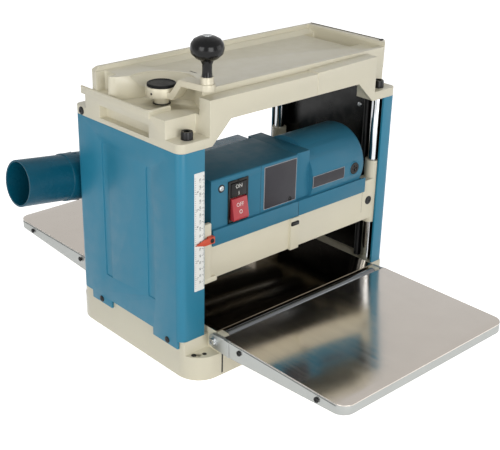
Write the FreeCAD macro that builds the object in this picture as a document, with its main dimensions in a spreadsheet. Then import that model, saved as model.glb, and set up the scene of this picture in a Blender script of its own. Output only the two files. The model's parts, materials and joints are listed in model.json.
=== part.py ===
import FreeCAD, Part
import math
import os

import Sketcher
from FreeCAD import Placement, Rotation, Vector

# Portable thickness planer. Millimetres, +Z up, +X to the operator's right, -Y towards the infeed side.
# The origin lies on the floor under the middle of the machine.

SIZES = [
    # base casting and table
    ("base_side", 45, "how far the base reaches out beside the planing table"),
    ("foot_reach", 26, "how far the base reaches in front of the side covers"),
    ("base_corner", 38, "plan radius of the base corners"),
    ("base_rise", 58, "floor to the seat of the side covers"),
    ("base_skin", 8, "wall of the base casting"),
    ("foot_rise", 37, "floor to the top of a corner foot"),
    ("foot_hole", 4.5, "radius of a fixing hole in a foot"),
    ("foot_hole_side", 19, "fixing hole, from the side of the base"),
    ("foot_hole_end", 16, "fixing hole, from the front of the base"),
    ("bed_width", 330, "width of the planing table"),
    ("bed_rib", 6, "thickness of the ribs under the bed"),
    ("table_height", 70, "floor to the planing surface"),
    ("sheet_gauge", 1.5, "thickness of the table sheets"),
    ("sheet_lip", 7, "turned-down lip of the main table sheet"),
    ("bed_inset", 6, "main table sheet's edge, in from the front of the base"),
    # base rollers
    ("roller_stand", 3, "base roller axis, out from the front of the base"),
    ("base_roller_radius", 7.5, "radius of a base roller"),
    ("roller_gap", 1, "end play of a base roller between its ears"),
    ("journal_radius", 4, "radius of a base roller journal"),
    ("ear_width", 9.5, "thickness of the ears beside the base rollers"),
    ("ear_chamfer", 3.2, "chamfer of the ears' noses"),
    # folding tables
    ("pivot_inset", 6, "folding table pivot, in from the front of the base"),
    ("pivot_z", 56, "folding table pivot, from the floor"),
    ("pivot_radius", 5, "radius of a pivot bolt"),
    ("arm_radius", 11, "radius of the hinge arm round its pivot"),
    ("arm_width", 5.7, "thickness of a hinge arm"),
    ("hinge_head", 7.15, "radius of a pivot bolt's head"),
    ("side_gap", 0.8, "gap between hinge arm and ear"),
    ("ear_nose", 3.5, "gap between the ear's nose and the folding table"),
    ("leaf_stand", 13.5, "folding table's inner edge, out from the front of the base"),
    ("leaf_length", 225, "folding table, from its inner to its outer edge"),
    ("leaf_over", 5, "how far a folding table reaches past the planing table's side"),
    ("leaf_corner", 18, "plan radius of its outer corners"),
    ("rail_width", 11, "thickness of the table frame's side rails"),
    ("rail_depth", 26, "side rail depth beside the hinge"),
    ("rail_tip", 13, "side rail depth at the outer end"),
    ("leaf_bolt", 4, "radius of the bolt heads on the side rails"),
    ("rail_bolt_rise", 3, "height of those bolt heads"),
    ("rail_bolt_drop", 8.5, "rail bolts, below the table sheet"),
    ("leaf_bolt_near", 32.5, "near rail bolt, from the folding table's inner edge"),
    ("leaf_bolt_far", 46.5, "far rail bolt, from the folding table's outer edge"),
    # side covers
    ("cover_stand", 4, "how far the side covers stand out beside the base"),
    ("cover_depth", 242, "outside depth over the side covers"),
    ("cover_wall", 3.5, "wall of a side cover"),
    ("cover_rise", 279, "height of a side cover above the base"),
    ("cover_corner", 12, "outer corner radius of a side cover"),
    ("flange_left", 42, "front flange of the left cover"),
    ("flange_right", 28, "front flange of the right cover"),
    ("cover_tab", 12, "how far the cover tabs hang over the base"),
    ("groove_width", 16, "width of the long grooves in a cover"),
    ("groove_depth", 1.2, "depth of the long grooves in a cover"),
    ("corner_screw", 6, "radius of the screw in a cover's rear upper corner"),
    ("panel_gauge", 1.5, "thickness of the inner side panels"),
    # columns and lift screws
    ("column_side", 25, "column axis, in from the outside of a side cover"),
    ("column_end", 16, "column axis, in from the front of the side covers"),
    ("column_radius", 8, "radius of a guide column"),
    ("socket_depth", 12, "depth of a column socket in the base"),
    ("cap_socket", 6, "depth of a column socket in the top frame"),
    ("column_bolt", 4, "radius of a column bolt"),
    ("bolt_head", 7, "radius of a column bolt head"),
    ("bolt_head_rise", 14, "height of a column bolt head"),
    ("screw_radius", 5, "radius of a lift screw"),
    ("left_screw_side", 34, "left lift screw, in from the outside of its cover"),
    ("left_screw_y", 54, "left lift screw"),
    ("right_screw_side", 19, "right lift screw, in from the outside of its cover"),
    ("right_screw_y", -82, "right lift screw"),
    ("screw_foot", 8, "depth of a lift screw's seat in the base"),
    ("sprocket_radius", 9, "radius of a lift sprocket"),
    ("chain_height", 5, "width of the lift chains"),
    ("chain_gauge", 2.5, "thickness of the lift chains"),
    ("lift_chain_z", 384.5, "underside of the long lift chain"),
    ("crank_chain_z", 350, "underside of the short crank chain"),
    # top frame and tray
    ("frame_rise", 39, "height of the top frame"),
    ("frame_wall", 6, "wall of the top frame"),
    ("deck_gauge", 4.5, "thickness of the top frame's deck"),
    ("lug_rise", 13, "height of the corner lugs under the column bolts"),
    ("lug_depth", 30, "front to back depth of a corner lug"),
    ("arch_side", 88, "crown of the arch, in from the outside of a side cover"),
    ("arch_foot_side", 54, "foot of the arch, in from the outside of a side cover"),
    ("arch_rise", 32, "height of the arch above the covers"),
    ("window_left", 86, "deck window's left edge, in from the outside of the left cover"),
    ("window_right", 54, "deck window's right edge, in from the outside of the right cover"),
    ("window_front", 24, "deck window's front edge, in from the front of the covers"),
    ("window_back", 24, "deck window, from the middle to its back edge"),
    ("beam_rise", 24, "front beam above the deck"),
    ("beam_right_rise", 28.5, "right end of the front beam above the deck"),
    ("beam_seam", 38, "step in the top of the front beam"),
    ("beam_depth", 22, "front beam, front to back"),
    ("lip_rise", 5, "lip round the frame's left end, above the deck"),
    ("lip_stand", 2.5, "how far that lip stands out"),
    ("lip_front", -60, "front end of that lip"),
    ("lip_back", 97, "back end of that lip"),
    ("grip_length", 112, "length of a hand-hold"),
    ("grip_height", 18, "height of a hand-hold"),
    ("grip_depth", 12, "depth of a hand-hold"),
    ("tray_back", 42, "tray's foot, in from the back of the covers"),
    ("tray_slope", 8, "how far the back of the tray leans in below its rim"),
    ("tray_flare", 6, "how far the tray's right rim stands out beside the covers"),
    ("tray_front", 23, "tray's front wall, in from the front of the covers"),
    ("tray_wall", 3, "wall of the tray"),
    ("rim_width", 6, "width of the tray's rim"),
    ("pan_margin", 8, "edge of the tray round its floor"),
    ("rim_top", 414, "floor to the back rim of the tray"),
    ("front_lip", 408, "floor to the front lip of the tray"),
    ("tray_floor", 402, "floor to the tray's floor"),
    ("well_floor", 393, "floor to the bottom of the tray's well"),
    ("pan_left", 98, "left edge of the tray's floor, in from the outside of the left cover"),
    ("pan_slope", 12, "depth of the slope behind the tray's floor"),
    ("well_side", 30, "left edge of the tray's well, in from the outside of the right cover"),
    ("well_front", -47, "front edge of the tray's well"),
    ("notch_front", 33, "front edge of the notch in the tray's left end"),
    ("notch_back", 61, "back edge of that notch"),
    ("notch_depth", 16, "depth of that notch"),
    # crank
    ("crank_side", 46, "crank axis, in from the outside of the left cover"),
    ("crank_y", -26, "crank axis"),
    ("crank_turn", -79.8, "angle of the crank arm from +X, degrees"),
    ("crank_reach", 79.2, "crank axis to knob axis"),
    ("crank_bottom", 388, "underside of the crank hub"),
    ("hub_radius", 22, "radius of the crank hub"),
    ("hub_rise", 13, "height of the crank hub"),
    ("boss_radius", 10, "radius of the boss under the crank hub"),
    ("arm_half", 11, "half the width of the crank arm"),
    ("step_rise", 21, "how far the arm's outer end stands above the hub's underside"),
    ("step_start", 29, "crank axis to the foot of the arm's step"),
    ("step_run", 15, "length of the arm's step"),
    ("niche_back", 32, "crank axis to the tray's side behind it"),
    ("niche_side", 40, "crank axis to the tray's side on its right"),
    ("crank_room", 3.5, "room between the turning crank arm and the tray"),
    ("arm_gauge", 8.5, "thickness of the crank arm"),
    ("crank_shaft_radius", 6, "radius of the crank shaft"),
    ("cap_radius", 20, "radius of the crank's cap disc"),
    ("cap_rise", 4, "height of the crank's cap disc"),
    ("knob_radius", 22.5, "radius of the crank knob"),
    ("knob_foot", 427, "floor to the foot of the knob"),
    ("knob_top", 480, "floor to the top of the knob"),
    ("stem_radius", 6.5, "radius of the knob's stem"),
    ("knob_pin_radius", 3, "radius of the knob's pin"),
    ("dome_radius", 6.3, "radius of the head of the knob's pin"),
    # cutter head carriage
    ("cut_height", 138, "floor to the knives' lowest path"),
    ("plate_inset", 11, "end plates' inner face, in from the side of the planing table"),
    ("plate_gauge", 14, "thickness of the end plates"),
    ("panel_inset", 6, "front panel, in from the front of the covers"),
    ("panel_wall", 6, "thickness of the front and rear panels"),
    ("panel_top", 188.5, "floor to the top of the front panel"),
    ("rib_right", 13.8, "right side of the rib on the front panel, from the middle"),
    ("rib_rise", 4.2, "height of that rib"),
    ("carriage_top", 205, "floor to the top of the carriage deck"),
    ("sleeve_radius", 12, "outer radius of the column sleeves"),
    ("sleeve_low", 130, "floor to the lower end of the sleeves"),
    ("sleeve_high", 234, "floor to the upper end of the sleeves"),
    ("web_back", 10.8, "column axis to the far side of the web beside its sleeve"),
    ("nut_radius", 9, "outer radius of the lift nut bosses"),
    ("nut_body", 7.2, "outer radius of the lift nuts"),
    ("nut_rise", 40, "height of the lift nuts"),
    # cutter drum and feed rollers
    ("knife_circle", 25, "radius of the knives' path"),
    ("drum_radius", 23.5, "radius of the cutter drum"),
    ("drum_gap", 1, "gap between the cutter drum and an end plate"),
    ("drum_flat", 13, "drum axis to the flats that carry the knives"),
    ("knife_gauge", 2, "thickness of a knife"),
    ("knife_width", 29, "width of a knife"),
    ("knife_reach", 20.375, "drum's middle to a knife's edge, along its flat"),
    ("drum_shaft", 8.5, "radius of the drum's shaft"),
    ("drum_shaft_end", 11.25, "drum shaft's right end, out from the end plate"),
    ("bearing_radius", 17.5, "outer radius of the drum bearings"),
    ("feed_y", 55, "feed roller axis, from the drum axis"),
    ("feed_radius", 17, "radius of a feed roller"),
    ("feed_core", 10, "radius of a feed roller's steel core"),
    ("feed_drop", 1, "how far the feed rollers reach below the knives"),
    ("feed_journal", 6, "radius of a feed roller's journals"),
    ("feed_sprocket", 12, "radius of a feed sprocket"),
    ("feed_chain_gap", 18, "feed chain's inner side, out from the end plate"),
    ("feed_chain_width", 4, "width of the feed chain"),
    ("gear_case_width", 15, "thickness of the feed gear case"),
    # motor and belt
    ("motor_inset", 59, "motor axis, in from the front of the covers"),
    ("motor_z", 235.5, "motor axis"),
    ("motor_radius", 56.5, "outer radius of the motor housing"),
    ("motor_wall", 4.5, "wall of the motor housing"),
    ("intake_radius", 26, "opening in the motor housing's left end"),
    ("motor_left", 40, "left end of the round motor housing"),
    ("motor_over", 3, "how far the motor housing reaches over the right end plate"),
    ("motor_round", 9, "rounding of the motor's end"),
    ("motor_soft", 2.7, "first facet of that rounding"),
    ("stator_radius", 50, "outer radius of the stator"),
    ("stator_bore", 31, "bore of the stator"),
    ("rotor_radius", 30, "radius of the rotor"),
    ("stack_left", 62, "left end of the rotor and stator stacks"),
    ("stack_length", 50, "length of the rotor and stator stacks"),
    ("fan_radius", 46, "radius of the cooling fan"),
    ("motor_shaft", 6, "radius of the motor shaft"),
    ("motor_pulley_radius", 16, "radius of the motor pulley"),
    ("drum_pulley_radius", 13, "radius of the drum pulley"),
    ("belt_gap", 18, "belt's outer side, out from the end plate"),
    ("belt_width", 12, "width of the belt"),
    ("belt_gauge", 2.5, "thickness of the belt"),
    ("brush_inset", 26, "brush caps, in from the motor housing's right end"),
    ("brush_radius", 9.5, "radius of a brush cap"),
    ("brush_depth", 2, "how far a brush cap reaches inside the housing"),
    ("brush_stand", 0.6, "how far a brush cap stands out of the housing"),
    # switch and its cover
    ("switch_gap", 1, "gap between the switch cover and the left end plate"),
    ("switch_right", 13, "right side of the switch cover"),
    ("switch_inset", 9, "switch cover's face, in from the front of the covers"),
    ("switch_back", 12, "switch cover's back, from the middle"),
    ("switch_skirt", 50, "back edge of the switch cover's skirt, from the middle"),
    ("band_inset", 4, "face of the band under the switch cover, in from the front of the covers"),
    ("band_top", 212, "floor to the top of the band"),
    ("band_over", 7, "how far the band reaches over the right end plate"),
    ("switch_top", 283.5, "floor to the top of the switch cover"),
    ("switch_wall", 3, "wall of the switch cover"),
    ("switch_x", -104, "middle of the switch"),
    ("switch_width", 32, "width of the switch opening"),
    ("switch_low", 215, "floor to the lower edge of the switch opening"),
    ("switch_high", 273, "floor to the upper edge of the switch opening"),
    ("switch_depth", 24, "depth of the switch behind the cover's face"),
    ("switch_bezel", 2.5, "width of the switch's bezel"),
    ("switch_shell", 1.5, "wall of the switch body"),
    ("button_travel", 2.5, "travel of the ON button"),
    ("paddle_reach", 9, "how far the OFF paddle's foot stands out"),
    # dust hood, scale and pointer
    ("hood_inset", 4, "dust hood's ends, in from the end plates"),
    ("hood_reach", 51, "dust hood, out from the back of the covers"),
    ("hood_wall", 3, "wall of the dust hood"),
    ("nozzle_radius", 35, "outer radius of the dust nozzle"),
    ("nozzle_wall", 3, "wall of the dust nozzle"),
    ("nozzle_root", 36.5, "outer radius of the dust nozzle's root, which stops a hose"),
    ("nozzle_free", 76, "length of the dust nozzle that a hose slides over"),
    ("nozzle_stand", 39, "dust nozzle axis, out from the back of the covers"),
    ("nozzle_z", 216, "dust nozzle axis where it leaves the hood"),
    ("nozzle_length", 144, "length of the dust nozzle"),
    ("nozzle_inlet", 21, "depth of the nozzle's bore inside the hood"),
    ("nozzle_tilt", 7, "rise of the dust nozzle, degrees"),
    ("scale_low", 132, "floor to the foot of the scale"),
    ("scale_length", 174, "length of the scale"),
    ("scale_width", 17.5, "width of the scale"),
    ("scale_gauge", 0.6, "thickness of the scale"),
    ("pointer_z", 203, "floor to the pointer"),
    ("pointer_screw", 3.6, "radius of the pointer's screw head"),
    # fits
    ("running_fit", 0.05, "radial clearance of a shaft or column in its bore"),
    ("free_gap", 0.3, "gap between curved faces that don't rub"),
    ("bolt_gap", 0.3, "radial clearance of a bolt in its hole"),
]


class Dim:
    """A size that carries its number and the sheet expression it comes from."""

    def __init__(self, value, text):
        self.value = value
        self.text = text

    def __add__(self, other):
        return Dim(self.value + number(other), f"({self.text} + {formula(other)})")

    def __radd__(self, other):
        return Dim(number(other) + self.value, f"({formula(other)} + {self.text})")

    def __sub__(self, other):
        return Dim(self.value - number(other), f"({self.text} - {formula(other)})")

    def __rsub__(self, other):
        return Dim(number(other) - self.value, f"({formula(other)} - {self.text})")

    def __mul__(self, other):
        return Dim(self.value * number(other), f"({self.text} * {formula(other)})")

    def __rmul__(self, other):
        return self * other

    def __truediv__(self, other):
        return Dim(self.value / number(other), f"({self.text} / {formula(other)})")

    def __neg__(self):
        return self * -1


def number(size):
    return size.value if isinstance(size, Dim) else float(size)


def formula(size):
    return size.text if isinstance(size, Dim) else f"({float(size)})"


class Sizes:
    """The cells of the sheet, by alias."""


def fill_sheet(sizes):
    sheet = doc.addObject("Spreadsheet::Sheet", "size")
    for row, (alias, value, note) in enumerate(sizes, 1):
        sheet.set(f"A{row}", note)
        sheet.set(f"B{row}", str(value))
        sheet.setAlias(f"B{row}", alias)
    doc.recompute()
    cells = Sizes()
    for alias, _, _ in sizes:
        setattr(cells, alias, Dim(float(sheet.get(alias)), f"size.{alias}"))
    return cells


doc = FreeCAD.newDocument("thickness_planer")
S = fill_sheet(SIZES)
pieces = []

# turns that carry +Z onto the named axis
TURNS = {
    "X": Rotation(Vector(0, 1, 0), 90),
    "-X": Rotation(Vector(0, 1, 0), -90),
    "Y": Rotation(Vector(1, 0, 0), -90),
    "-Y": Rotation(Vector(1, 0, 0), 90),
    "Z": Rotation(),
}


def bind(thing, prop, size):
    thing.setExpression(prop, formula(size))


def place(thing, x, y, z, turn=Rotation()):
    thing.Placement = Placement(Vector(number(x), number(y), number(z)), turn)
    for axis, size in zip("xyz", (x, y, z)):
        bind(thing, f"Placement.Base.{axis}", size)
    return thing


def on_axis(axis, at, start):
    """Corner (x, y, z) of something that starts at `start` on an axis through `at`."""
    first, second = at
    return {"X": (start, first, second), "Y": (first, start, second), "Z": (first, second, start)}[axis[-1]]


def box(x, y, z):
    block = doc.addObject("Part::Box", "block")
    for prop, span in zip(("Length", "Width", "Height"), (x, y, z)):
        bind(block, prop, span[1] - span[0])
    return place(block, x[0], y[0], z[0])


def rod(axis, at, span, radius):
    cylinder = doc.addObject("Part::Cylinder", "rod")
    bind(cylinder, "Radius", radius)
    bind(cylinder, "Height", span[1] - span[0])
    return place(cylinder, *on_axis(axis, at, span[0]), TURNS[axis])


def fuse(*things):
    joined = doc.addObject("Part::MultiFuse", "joined")
    joined.Shapes = list(things)
    joined.Refine = True
    return joined


def cut(base, *tools):
    rest = doc.addObject("Part::Cut", "rest")
    rest.Base = base
    rest.Tool = tools[0] if len(tools) == 1 else fuse(*tools)
    rest.Refine = True
    return rest


def common(first, second):
    overlap = doc.addObject("Part::Common", "overlap")
    overlap.Base = first
    overlap.Tool = second
    return overlap


def group(*things):
    bundle = doc.addObject("Part::Compound", "bundle")
    bundle.Links = list(things)
    return bundle


def outline(body, plane, offset, points):
    """A closed polygon whose corners are held by two bound distances each."""
    drawing = body.newObject("Sketcher::SketchObject", "outline")
    origin = {item.Role: item for item in body.Origin.OriginFeatures}
    drawing.AttachmentSupport = [(origin[f"{plane}_Plane"], "")]
    drawing.MapMode = "FlatFace"
    bind(drawing, "AttachmentOffset.Base.z", offset)
    corners = [Vector(number(u), number(v), 0) for u, v in points]
    count = len(corners)
    drawing.addGeometry([Part.LineSegment(corners[i - 1], corners[i]) for i in range(count)], False)
    rules = [Sketcher.Constraint("Coincident", i - 1, 2, i, 1) for i in range(1, count)]
    rules.append(Sketcher.Constraint("Coincident", count - 1, 2, 0, 1))
    for i, corner in enumerate(corners):
        rules.append(Sketcher.Constraint("DistanceX", -1, 1, i, 2, corner.x))
        rules.append(Sketcher.Constraint("DistanceY", -1, 1, i, 2, corner.y))
    drawing.addConstraint(rules)
    for i, (u, v) in enumerate(points):
        bind(drawing, f"Constraints[{count + 2 * i}]", u)
        bind(drawing, f"Constraints[{count + 2 * i + 1}]", v)
    return drawing


def flat(plane, vertex):
    """The two coordinates that a sketch on `plane` uses, of a point in space."""
    return {"XY": (vertex.x, vertex.y), "XZ": (vertex.x, vertex.z), "YZ": (vertex.y, vertex.z)}[plane]


def edges_at(shape, plane, corner):
    """Names of the edges that a polygon's corner leaves when it is padded."""
    goal = Vector(number(corner[0]), number(corner[1]), 0)
    found = []
    for i, edge in enumerate(shape.Edges, 1):
        ends = [Vector(*flat(plane, vertex.Point), 0) for vertex in edge.Vertexes]
        if len(ends) == 2 and all(end.distanceToPoint(goal) < 1e-4 for end in ends):
            found.append(f"Edge{i}")
    return found


def prism(plane, points, span, rounds=()):
    """A polygon on `plane`, padded over `span` of the third axis; rounds are (corner numbers, radius)."""
    body = doc.addObject("PartDesign::Body", "prism")
    drawing = outline(body, plane, -span[1] if plane == "XZ" else span[0], points)
    solid = body.newObject("PartDesign::Pad", "pad")
    solid.Profile = drawing
    bind(solid, "Length", span[1] - span[0])
    for corners, radius in rounds:
        doc.recompute()
        names = [name for i in corners for name in edges_at(solid.Shape, plane, points[i])]
        fillet = body.newObject("PartDesign::Fillet", "round")
        fillet.Base = (solid, names)
        bind(fillet, "Radius", radius)
        solid = fillet
    return body


def turned(axis, at, start, points):
    """A turned piece: the outline (radius, distance from start) revolved about the axis."""
    body = doc.addObject("PartDesign::Body", "turned")
    drawing = outline(body, "XZ", 0, points)
    solid = body.newObject("PartDesign::Revolution", "turning")
    solid.Profile = drawing
    solid.ReferenceAxis = (drawing, ["V_Axis"])
    solid.Angle = 360
    return place(body, *on_axis(axis, at, start), TURNS[axis])


def rectangle(u, v):
    return [(u[0], v[0]), (u[1], v[0]), (u[1], v[1]), (u[0], v[1])]


def loop_face(axis, start, wheels, grow):
    """Face inside a loop drawn tight round two wheels ((u, v), radius), each radius enlarged by grow."""
    (first, first_radius), (second, second_radius) = wheels
    a = Vector(number(first[0]), number(first[1]), 0)
    b = Vector(number(second[0]), number(second[1]), 0)
    ra = number(first_radius) + number(grow)
    rb = number(second_radius) + number(grow)
    forward = (b - a).normalize()
    side = Vector(-forward.y, forward.x, 0)
    lean = (ra - rb) / (b - a).Length
    normals = [forward * lean + side * sign * math.sqrt(1 - lean * lean) for sign in (1, -1)]
    flat_points = [a + normals[0] * ra, a - forward * ra, a + normals[1] * ra]
    flat_points += [b + normals[1] * rb, b + forward * rb, b + normals[0] * rb]
    p = [Vector(*on_axis(axis, (point.x, point.y), number(start))) for point in flat_points]
    edges = [Part.Arc(p[0], p[1], p[2]).toShape(), Part.makeLine(p[2], p[3])]
    edges += [Part.Arc(p[3], p[4], p[5]).toShape(), Part.makeLine(p[5], p[0])]
    return Part.Face(Part.Wire(edges))


def belt(axis, span, wheels, gauge, gap=0):
    """A closed band of even thickness that lies `gap` off two wheels."""
    way = Vector(*on_axis(axis, (0, 0), number(span[1]) - number(span[0])))
    outer = loop_face(axis, span[0], wheels, gap + gauge).extrude(way)
    inner = loop_face(axis, span[0], wheels, gap).extrude(way)
    band = doc.addObject("Part::Feature", "band")
    band.Shape = outer.cut(inner)
    return band


def loop_block(axis, span, wheels, grow):
    """A solid block with the outline of a loop round two wheels."""
    way = Vector(*on_axis(axis, (0, 0), number(span[1]) - number(span[0])))
    block = doc.addObject("Part::Feature", "loop")
    block.Shape = loop_face(axis, span[0], wheels, grow).extrude(way)
    return block


def keep(label, thing):
    """Names a finished sub-part."""
    thing.Label = label
    pieces.append(thing)


def both(span):
    """The span (low, high) of positive sizes, on the left and on the right."""
    return ((-span[1], -span[0]), span)


def spread(half):
    return (-half, half)


# ---- places that several pieces share ----------------------------------------------------------

HALF_BED = S.bed_width / 2
HALF_BASE_X = HALF_BED + S.base_side
HALF_COVER_X = HALF_BASE_X + S.cover_stand
HALF_COVER_Y = S.cover_depth / 2
HALF_BASE_Y = HALF_COVER_Y + S.foot_reach
FRAME_BOTTOM = S.base_rise + S.cover_rise
FRAME_TOP = FRAME_BOTTOM + S.frame_rise
DECK_BOTTOM = FRAME_TOP - S.deck_gauge
LUG_TOP = FRAME_BOTTOM + S.lug_rise
LEAF_TOP = S.table_height
LEAF_SEAT = S.table_height - S.sheet_gauge
LEAF_HALF = HALF_BED + S.leaf_over
ROLLER_Z = S.table_height - S.base_roller_radius
EAR = (HALF_BED - S.ear_width, HALF_BED)
ARM = (HALF_BED + S.side_gap, HALF_BED + S.side_gap + S.arm_width)
DRUM_Z = S.cut_height + S.knife_circle
FEED_Z = S.cut_height - S.feed_drop + S.feed_radius
FOOT_HOLE_X = HALF_BASE_X - S.foot_hole_side
FOOT_HOLE_Y = HALF_BASE_Y - S.foot_hole_end
BED_EDGE = HALF_BASE_Y - S.bed_inset
BASE_ROLLER_Y = HALF_BASE_Y + S.roller_stand
PIVOT_Y = HALF_BASE_Y - S.pivot_inset
LEAF_START = HALF_BASE_Y + S.leaf_stand
LEAF_END = LEAF_START + S.leaf_length
LEAF_BOLT_NEAR = LEAF_START + S.leaf_bolt_near
LEAF_BOLT_FAR = LEAF_END - S.leaf_bolt_far
COLUMN_X = HALF_COVER_X - S.column_side
COLUMN_Y = HALF_COVER_Y - S.column_end
WINDOW_FRONT = HALF_COVER_Y - S.window_front
TRAY_BACK = HALF_COVER_Y - S.tray_back
TRAY_FRONT = HALF_COVER_Y - S.tray_front
RIM_BACK = TRAY_BACK - S.tray_slope
PAN_BACK = RIM_BACK - S.rim_width - S.pan_slope
CRANK_X = -(HALF_COVER_X - S.crank_side)
PANEL_FRONT = HALF_COVER_Y - S.panel_inset
MOTOR_Y = -(HALF_COVER_Y - S.motor_inset)
SWITCH_FACE = HALF_COVER_Y - S.switch_inset
BAND_FACE = HALF_COVER_Y - S.band_inset
HOOD_BACK = HALF_COVER_Y + S.hood_reach
NOZZLE_Y = HALF_COVER_Y + S.nozzle_stand
ROLLER_HALF = HALF_BED - S.ear_width - S.roller_gap
ARCH_HALF = HALF_COVER_X - S.arch_side
ARCH_FOOT = HALF_COVER_X - S.arch_foot_side
WINDOW_LEFT = -(HALF_COVER_X - S.window_left)
WINDOW_RIGHT = HALF_COVER_X - S.window_right
PLATE_INNER = HALF_BED - S.plate_inset
PLATE = (PLATE_INNER, PLATE_INNER + S.plate_gauge)
DRUM_HALF = PLATE_INNER - S.drum_gap
MOTOR_RIGHT = PLATE_INNER + S.motor_over
BRUSH_X = MOTOR_RIGHT - S.brush_inset
FEED_CHAIN_X = PLATE[1] + S.feed_chain_gap
BELT_X = -(PLATE[1] + S.belt_gap)
SWITCH_LEFT = -(PLATE_INNER - S.switch_gap)
HOOD_HALF = PLATE_INNER - S.hood_inset
COLUMNS = {
    "front_left": (-COLUMN_X, -COLUMN_Y),
    "front_right": (COLUMN_X, -COLUMN_Y),
    "rear_left": (-COLUMN_X, COLUMN_Y),
    "rear_right": (COLUMN_X, COLUMN_Y),
}
SCREWS = {
    "left": (-(HALF_COVER_X - S.left_screw_side), S.left_screw_y),
    "right": (HALF_COVER_X - S.right_screw_side, S.right_screw_y),
}
CRANK = (CRANK_X, S.crank_y)
POINTER_X = -(PLATE[0] + PLATE[1]) / 2
POCKET_X = ARCH_FOOT + S.frame_wall / 2
# places along a side cover, as shares of half its depth; a groove's foot and top are shares of its height
COVER_TABS = ((-0.93, -0.47), (0.37, 0.78))
COVER_GROOVES = ((0.39, 0.15, 0.91), (-0.46, 0.17, 0.88))
TAB_SCREWS = (-0.74, 0.58)
CORNER_SCREW = 0.84
# outline of the crank knob: shares of the stem's or the knob's radius and of the knob's height
KNOB_STEM = ((1.1, 0), (1, 0.12), (1, 0.3), (1.35, 0.4))
KNOB_BALL = ((0.66, 0.46), (0.93, 0.57), (1, 0.7), (0.95, 0.82), (0.78, 0.92), (0.5, 0.98), (0.3, 1))


# ---- base, table and columns --------------------------------------------------------------------

def base_casting():
    outer = rectangle(spread(HALF_BASE_X), spread(HALF_BASE_Y))
    body = prism("XY", outer, (0, S.base_rise), [(range(4), S.base_corner)])
    bed = box(spread(HALF_BED), spread(BED_EDGE - S.sheet_gauge), (S.foot_rise, LEAF_SEAT))
    solids = [body, bed]
    tools = []
    inside = S.base_corner - S.base_skin
    hollow_x = HALF_BASE_X - S.base_skin
    hollow_y = HALF_BASE_Y - S.base_skin
    hollow = rectangle(spread(hollow_x), spread(hollow_y))
    tools.append(prism("XY", hollow, (-1, S.foot_rise - S.base_skin), [(range(4), inside)]))
    for y in both((S.bed_rib / 2, BED_EDGE - 3 * S.base_skin)):
        for x in both((S.bed_rib / 2, HALF_BED - 2 * S.base_skin)):
            tools.append(box(x, y, (S.foot_rise - 2 * S.base_skin, LEAF_SEAT - S.base_skin)))
    for y in both((HALF_COVER_Y + S.bolt_gap, HALF_BASE_Y + 1)):
        for x in both((HALF_BED, HALF_BASE_X + 1)):
            tools.append(box(x, y, (S.foot_rise, S.base_rise + 1)))
    above = S.base_rise + 1
    for at in COLUMNS.values():
        tools.append(rod("Z", at, (S.base_rise - S.socket_depth, above), S.column_radius + S.running_fit))
    for at in SCREWS.values():
        tools.append(rod("Z", at, (S.base_rise - S.screw_foot, above), S.screw_radius + S.running_fit))
    for x in (-FOOT_HOLE_X, FOOT_HOLE_X):
        for y in (-FOOT_HOLE_Y, FOOT_HOLE_Y):
            tools.append(rod("Z", (x, y), (-1, S.foot_rise + 1), S.foot_hole))
    ledge = (BED_EDGE - S.sheet_gauge, HALF_BASE_Y + 1)
    for y in both(ledge):
        tools.append(box(spread(EAR[0]), y, (ROLLER_Z - S.base_roller_radius - 3, LEAF_TOP)))
    casting = cut(fuse(*solids), *tools)
    ears = [ear(side, front) for side in (-1, 1) for front in (-1, 1)]
    bores = []
    for front in (-1, 1):
        roller = (BASE_ROLLER_Y * front, ROLLER_Z)
        pivot = (PIVOT_Y * front, S.pivot_z)
        for x in both((EAR[0] - 1, EAR[1] + 1)):
            bores.append(rod("X", roller, x, S.journal_radius + S.running_fit))
            bores.append(rod("X", pivot, x, S.pivot_radius + S.running_fit))
    keep("base_casting", cut(fuse(casting, *ears), *bores))


def ear(side, front):
    """The lug beside a base roller that also carries the folding table's pivot."""
    inner = BED_EDGE - 2 * S.base_skin
    nose = LEAF_START - S.ear_nose
    chamfer = S.ear_chamfer
    profile = [
        (inner * front, S.foot_rise),
        (HALF_BASE_Y * front, S.foot_rise),
        (nose * front, S.pivot_z - S.journal_radius),
        (nose * front, LEAF_SEAT - chamfer),
        ((nose - chamfer) * front, LEAF_SEAT),
        (BED_EDGE * front, LEAF_SEAT),
        (BED_EDGE * front, LEAF_SEAT - S.sheet_lip),
        (inner * front, LEAF_SEAT - S.sheet_lip),
    ]
    span = EAR if side > 0 else (-EAR[1], -EAR[0])
    return prism("YZ", profile, span)


def table_sheet():
    edge = BED_EDGE
    fold = edge - S.sheet_gauge
    lip = LEAF_SEAT - S.sheet_lip
    profile = [(-edge, lip), (-fold, lip), (-fold, LEAF_SEAT), (fold, LEAF_SEAT)]
    profile += [(fold, lip), (edge, lip), (edge, LEAF_TOP), (-edge, LEAF_TOP)]
    keep("table_sheet", prism("YZ", profile, spread(HALF_BED), [((6, 7), S.sheet_gauge / 2)]))


def base_rollers():
    half = ROLLER_HALF
    tip = EAR[1] - 1
    for name, front in (("front", -1), ("rear", 1)):
        at = (BASE_ROLLER_Y * front, ROLLER_Z)
        roller = rod("X", at, spread(half), S.base_roller_radius)
        journals = rod("X", at, spread(tip), S.journal_radius)
        keep(f"{name}_base_roller", fuse(roller, journals))


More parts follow.
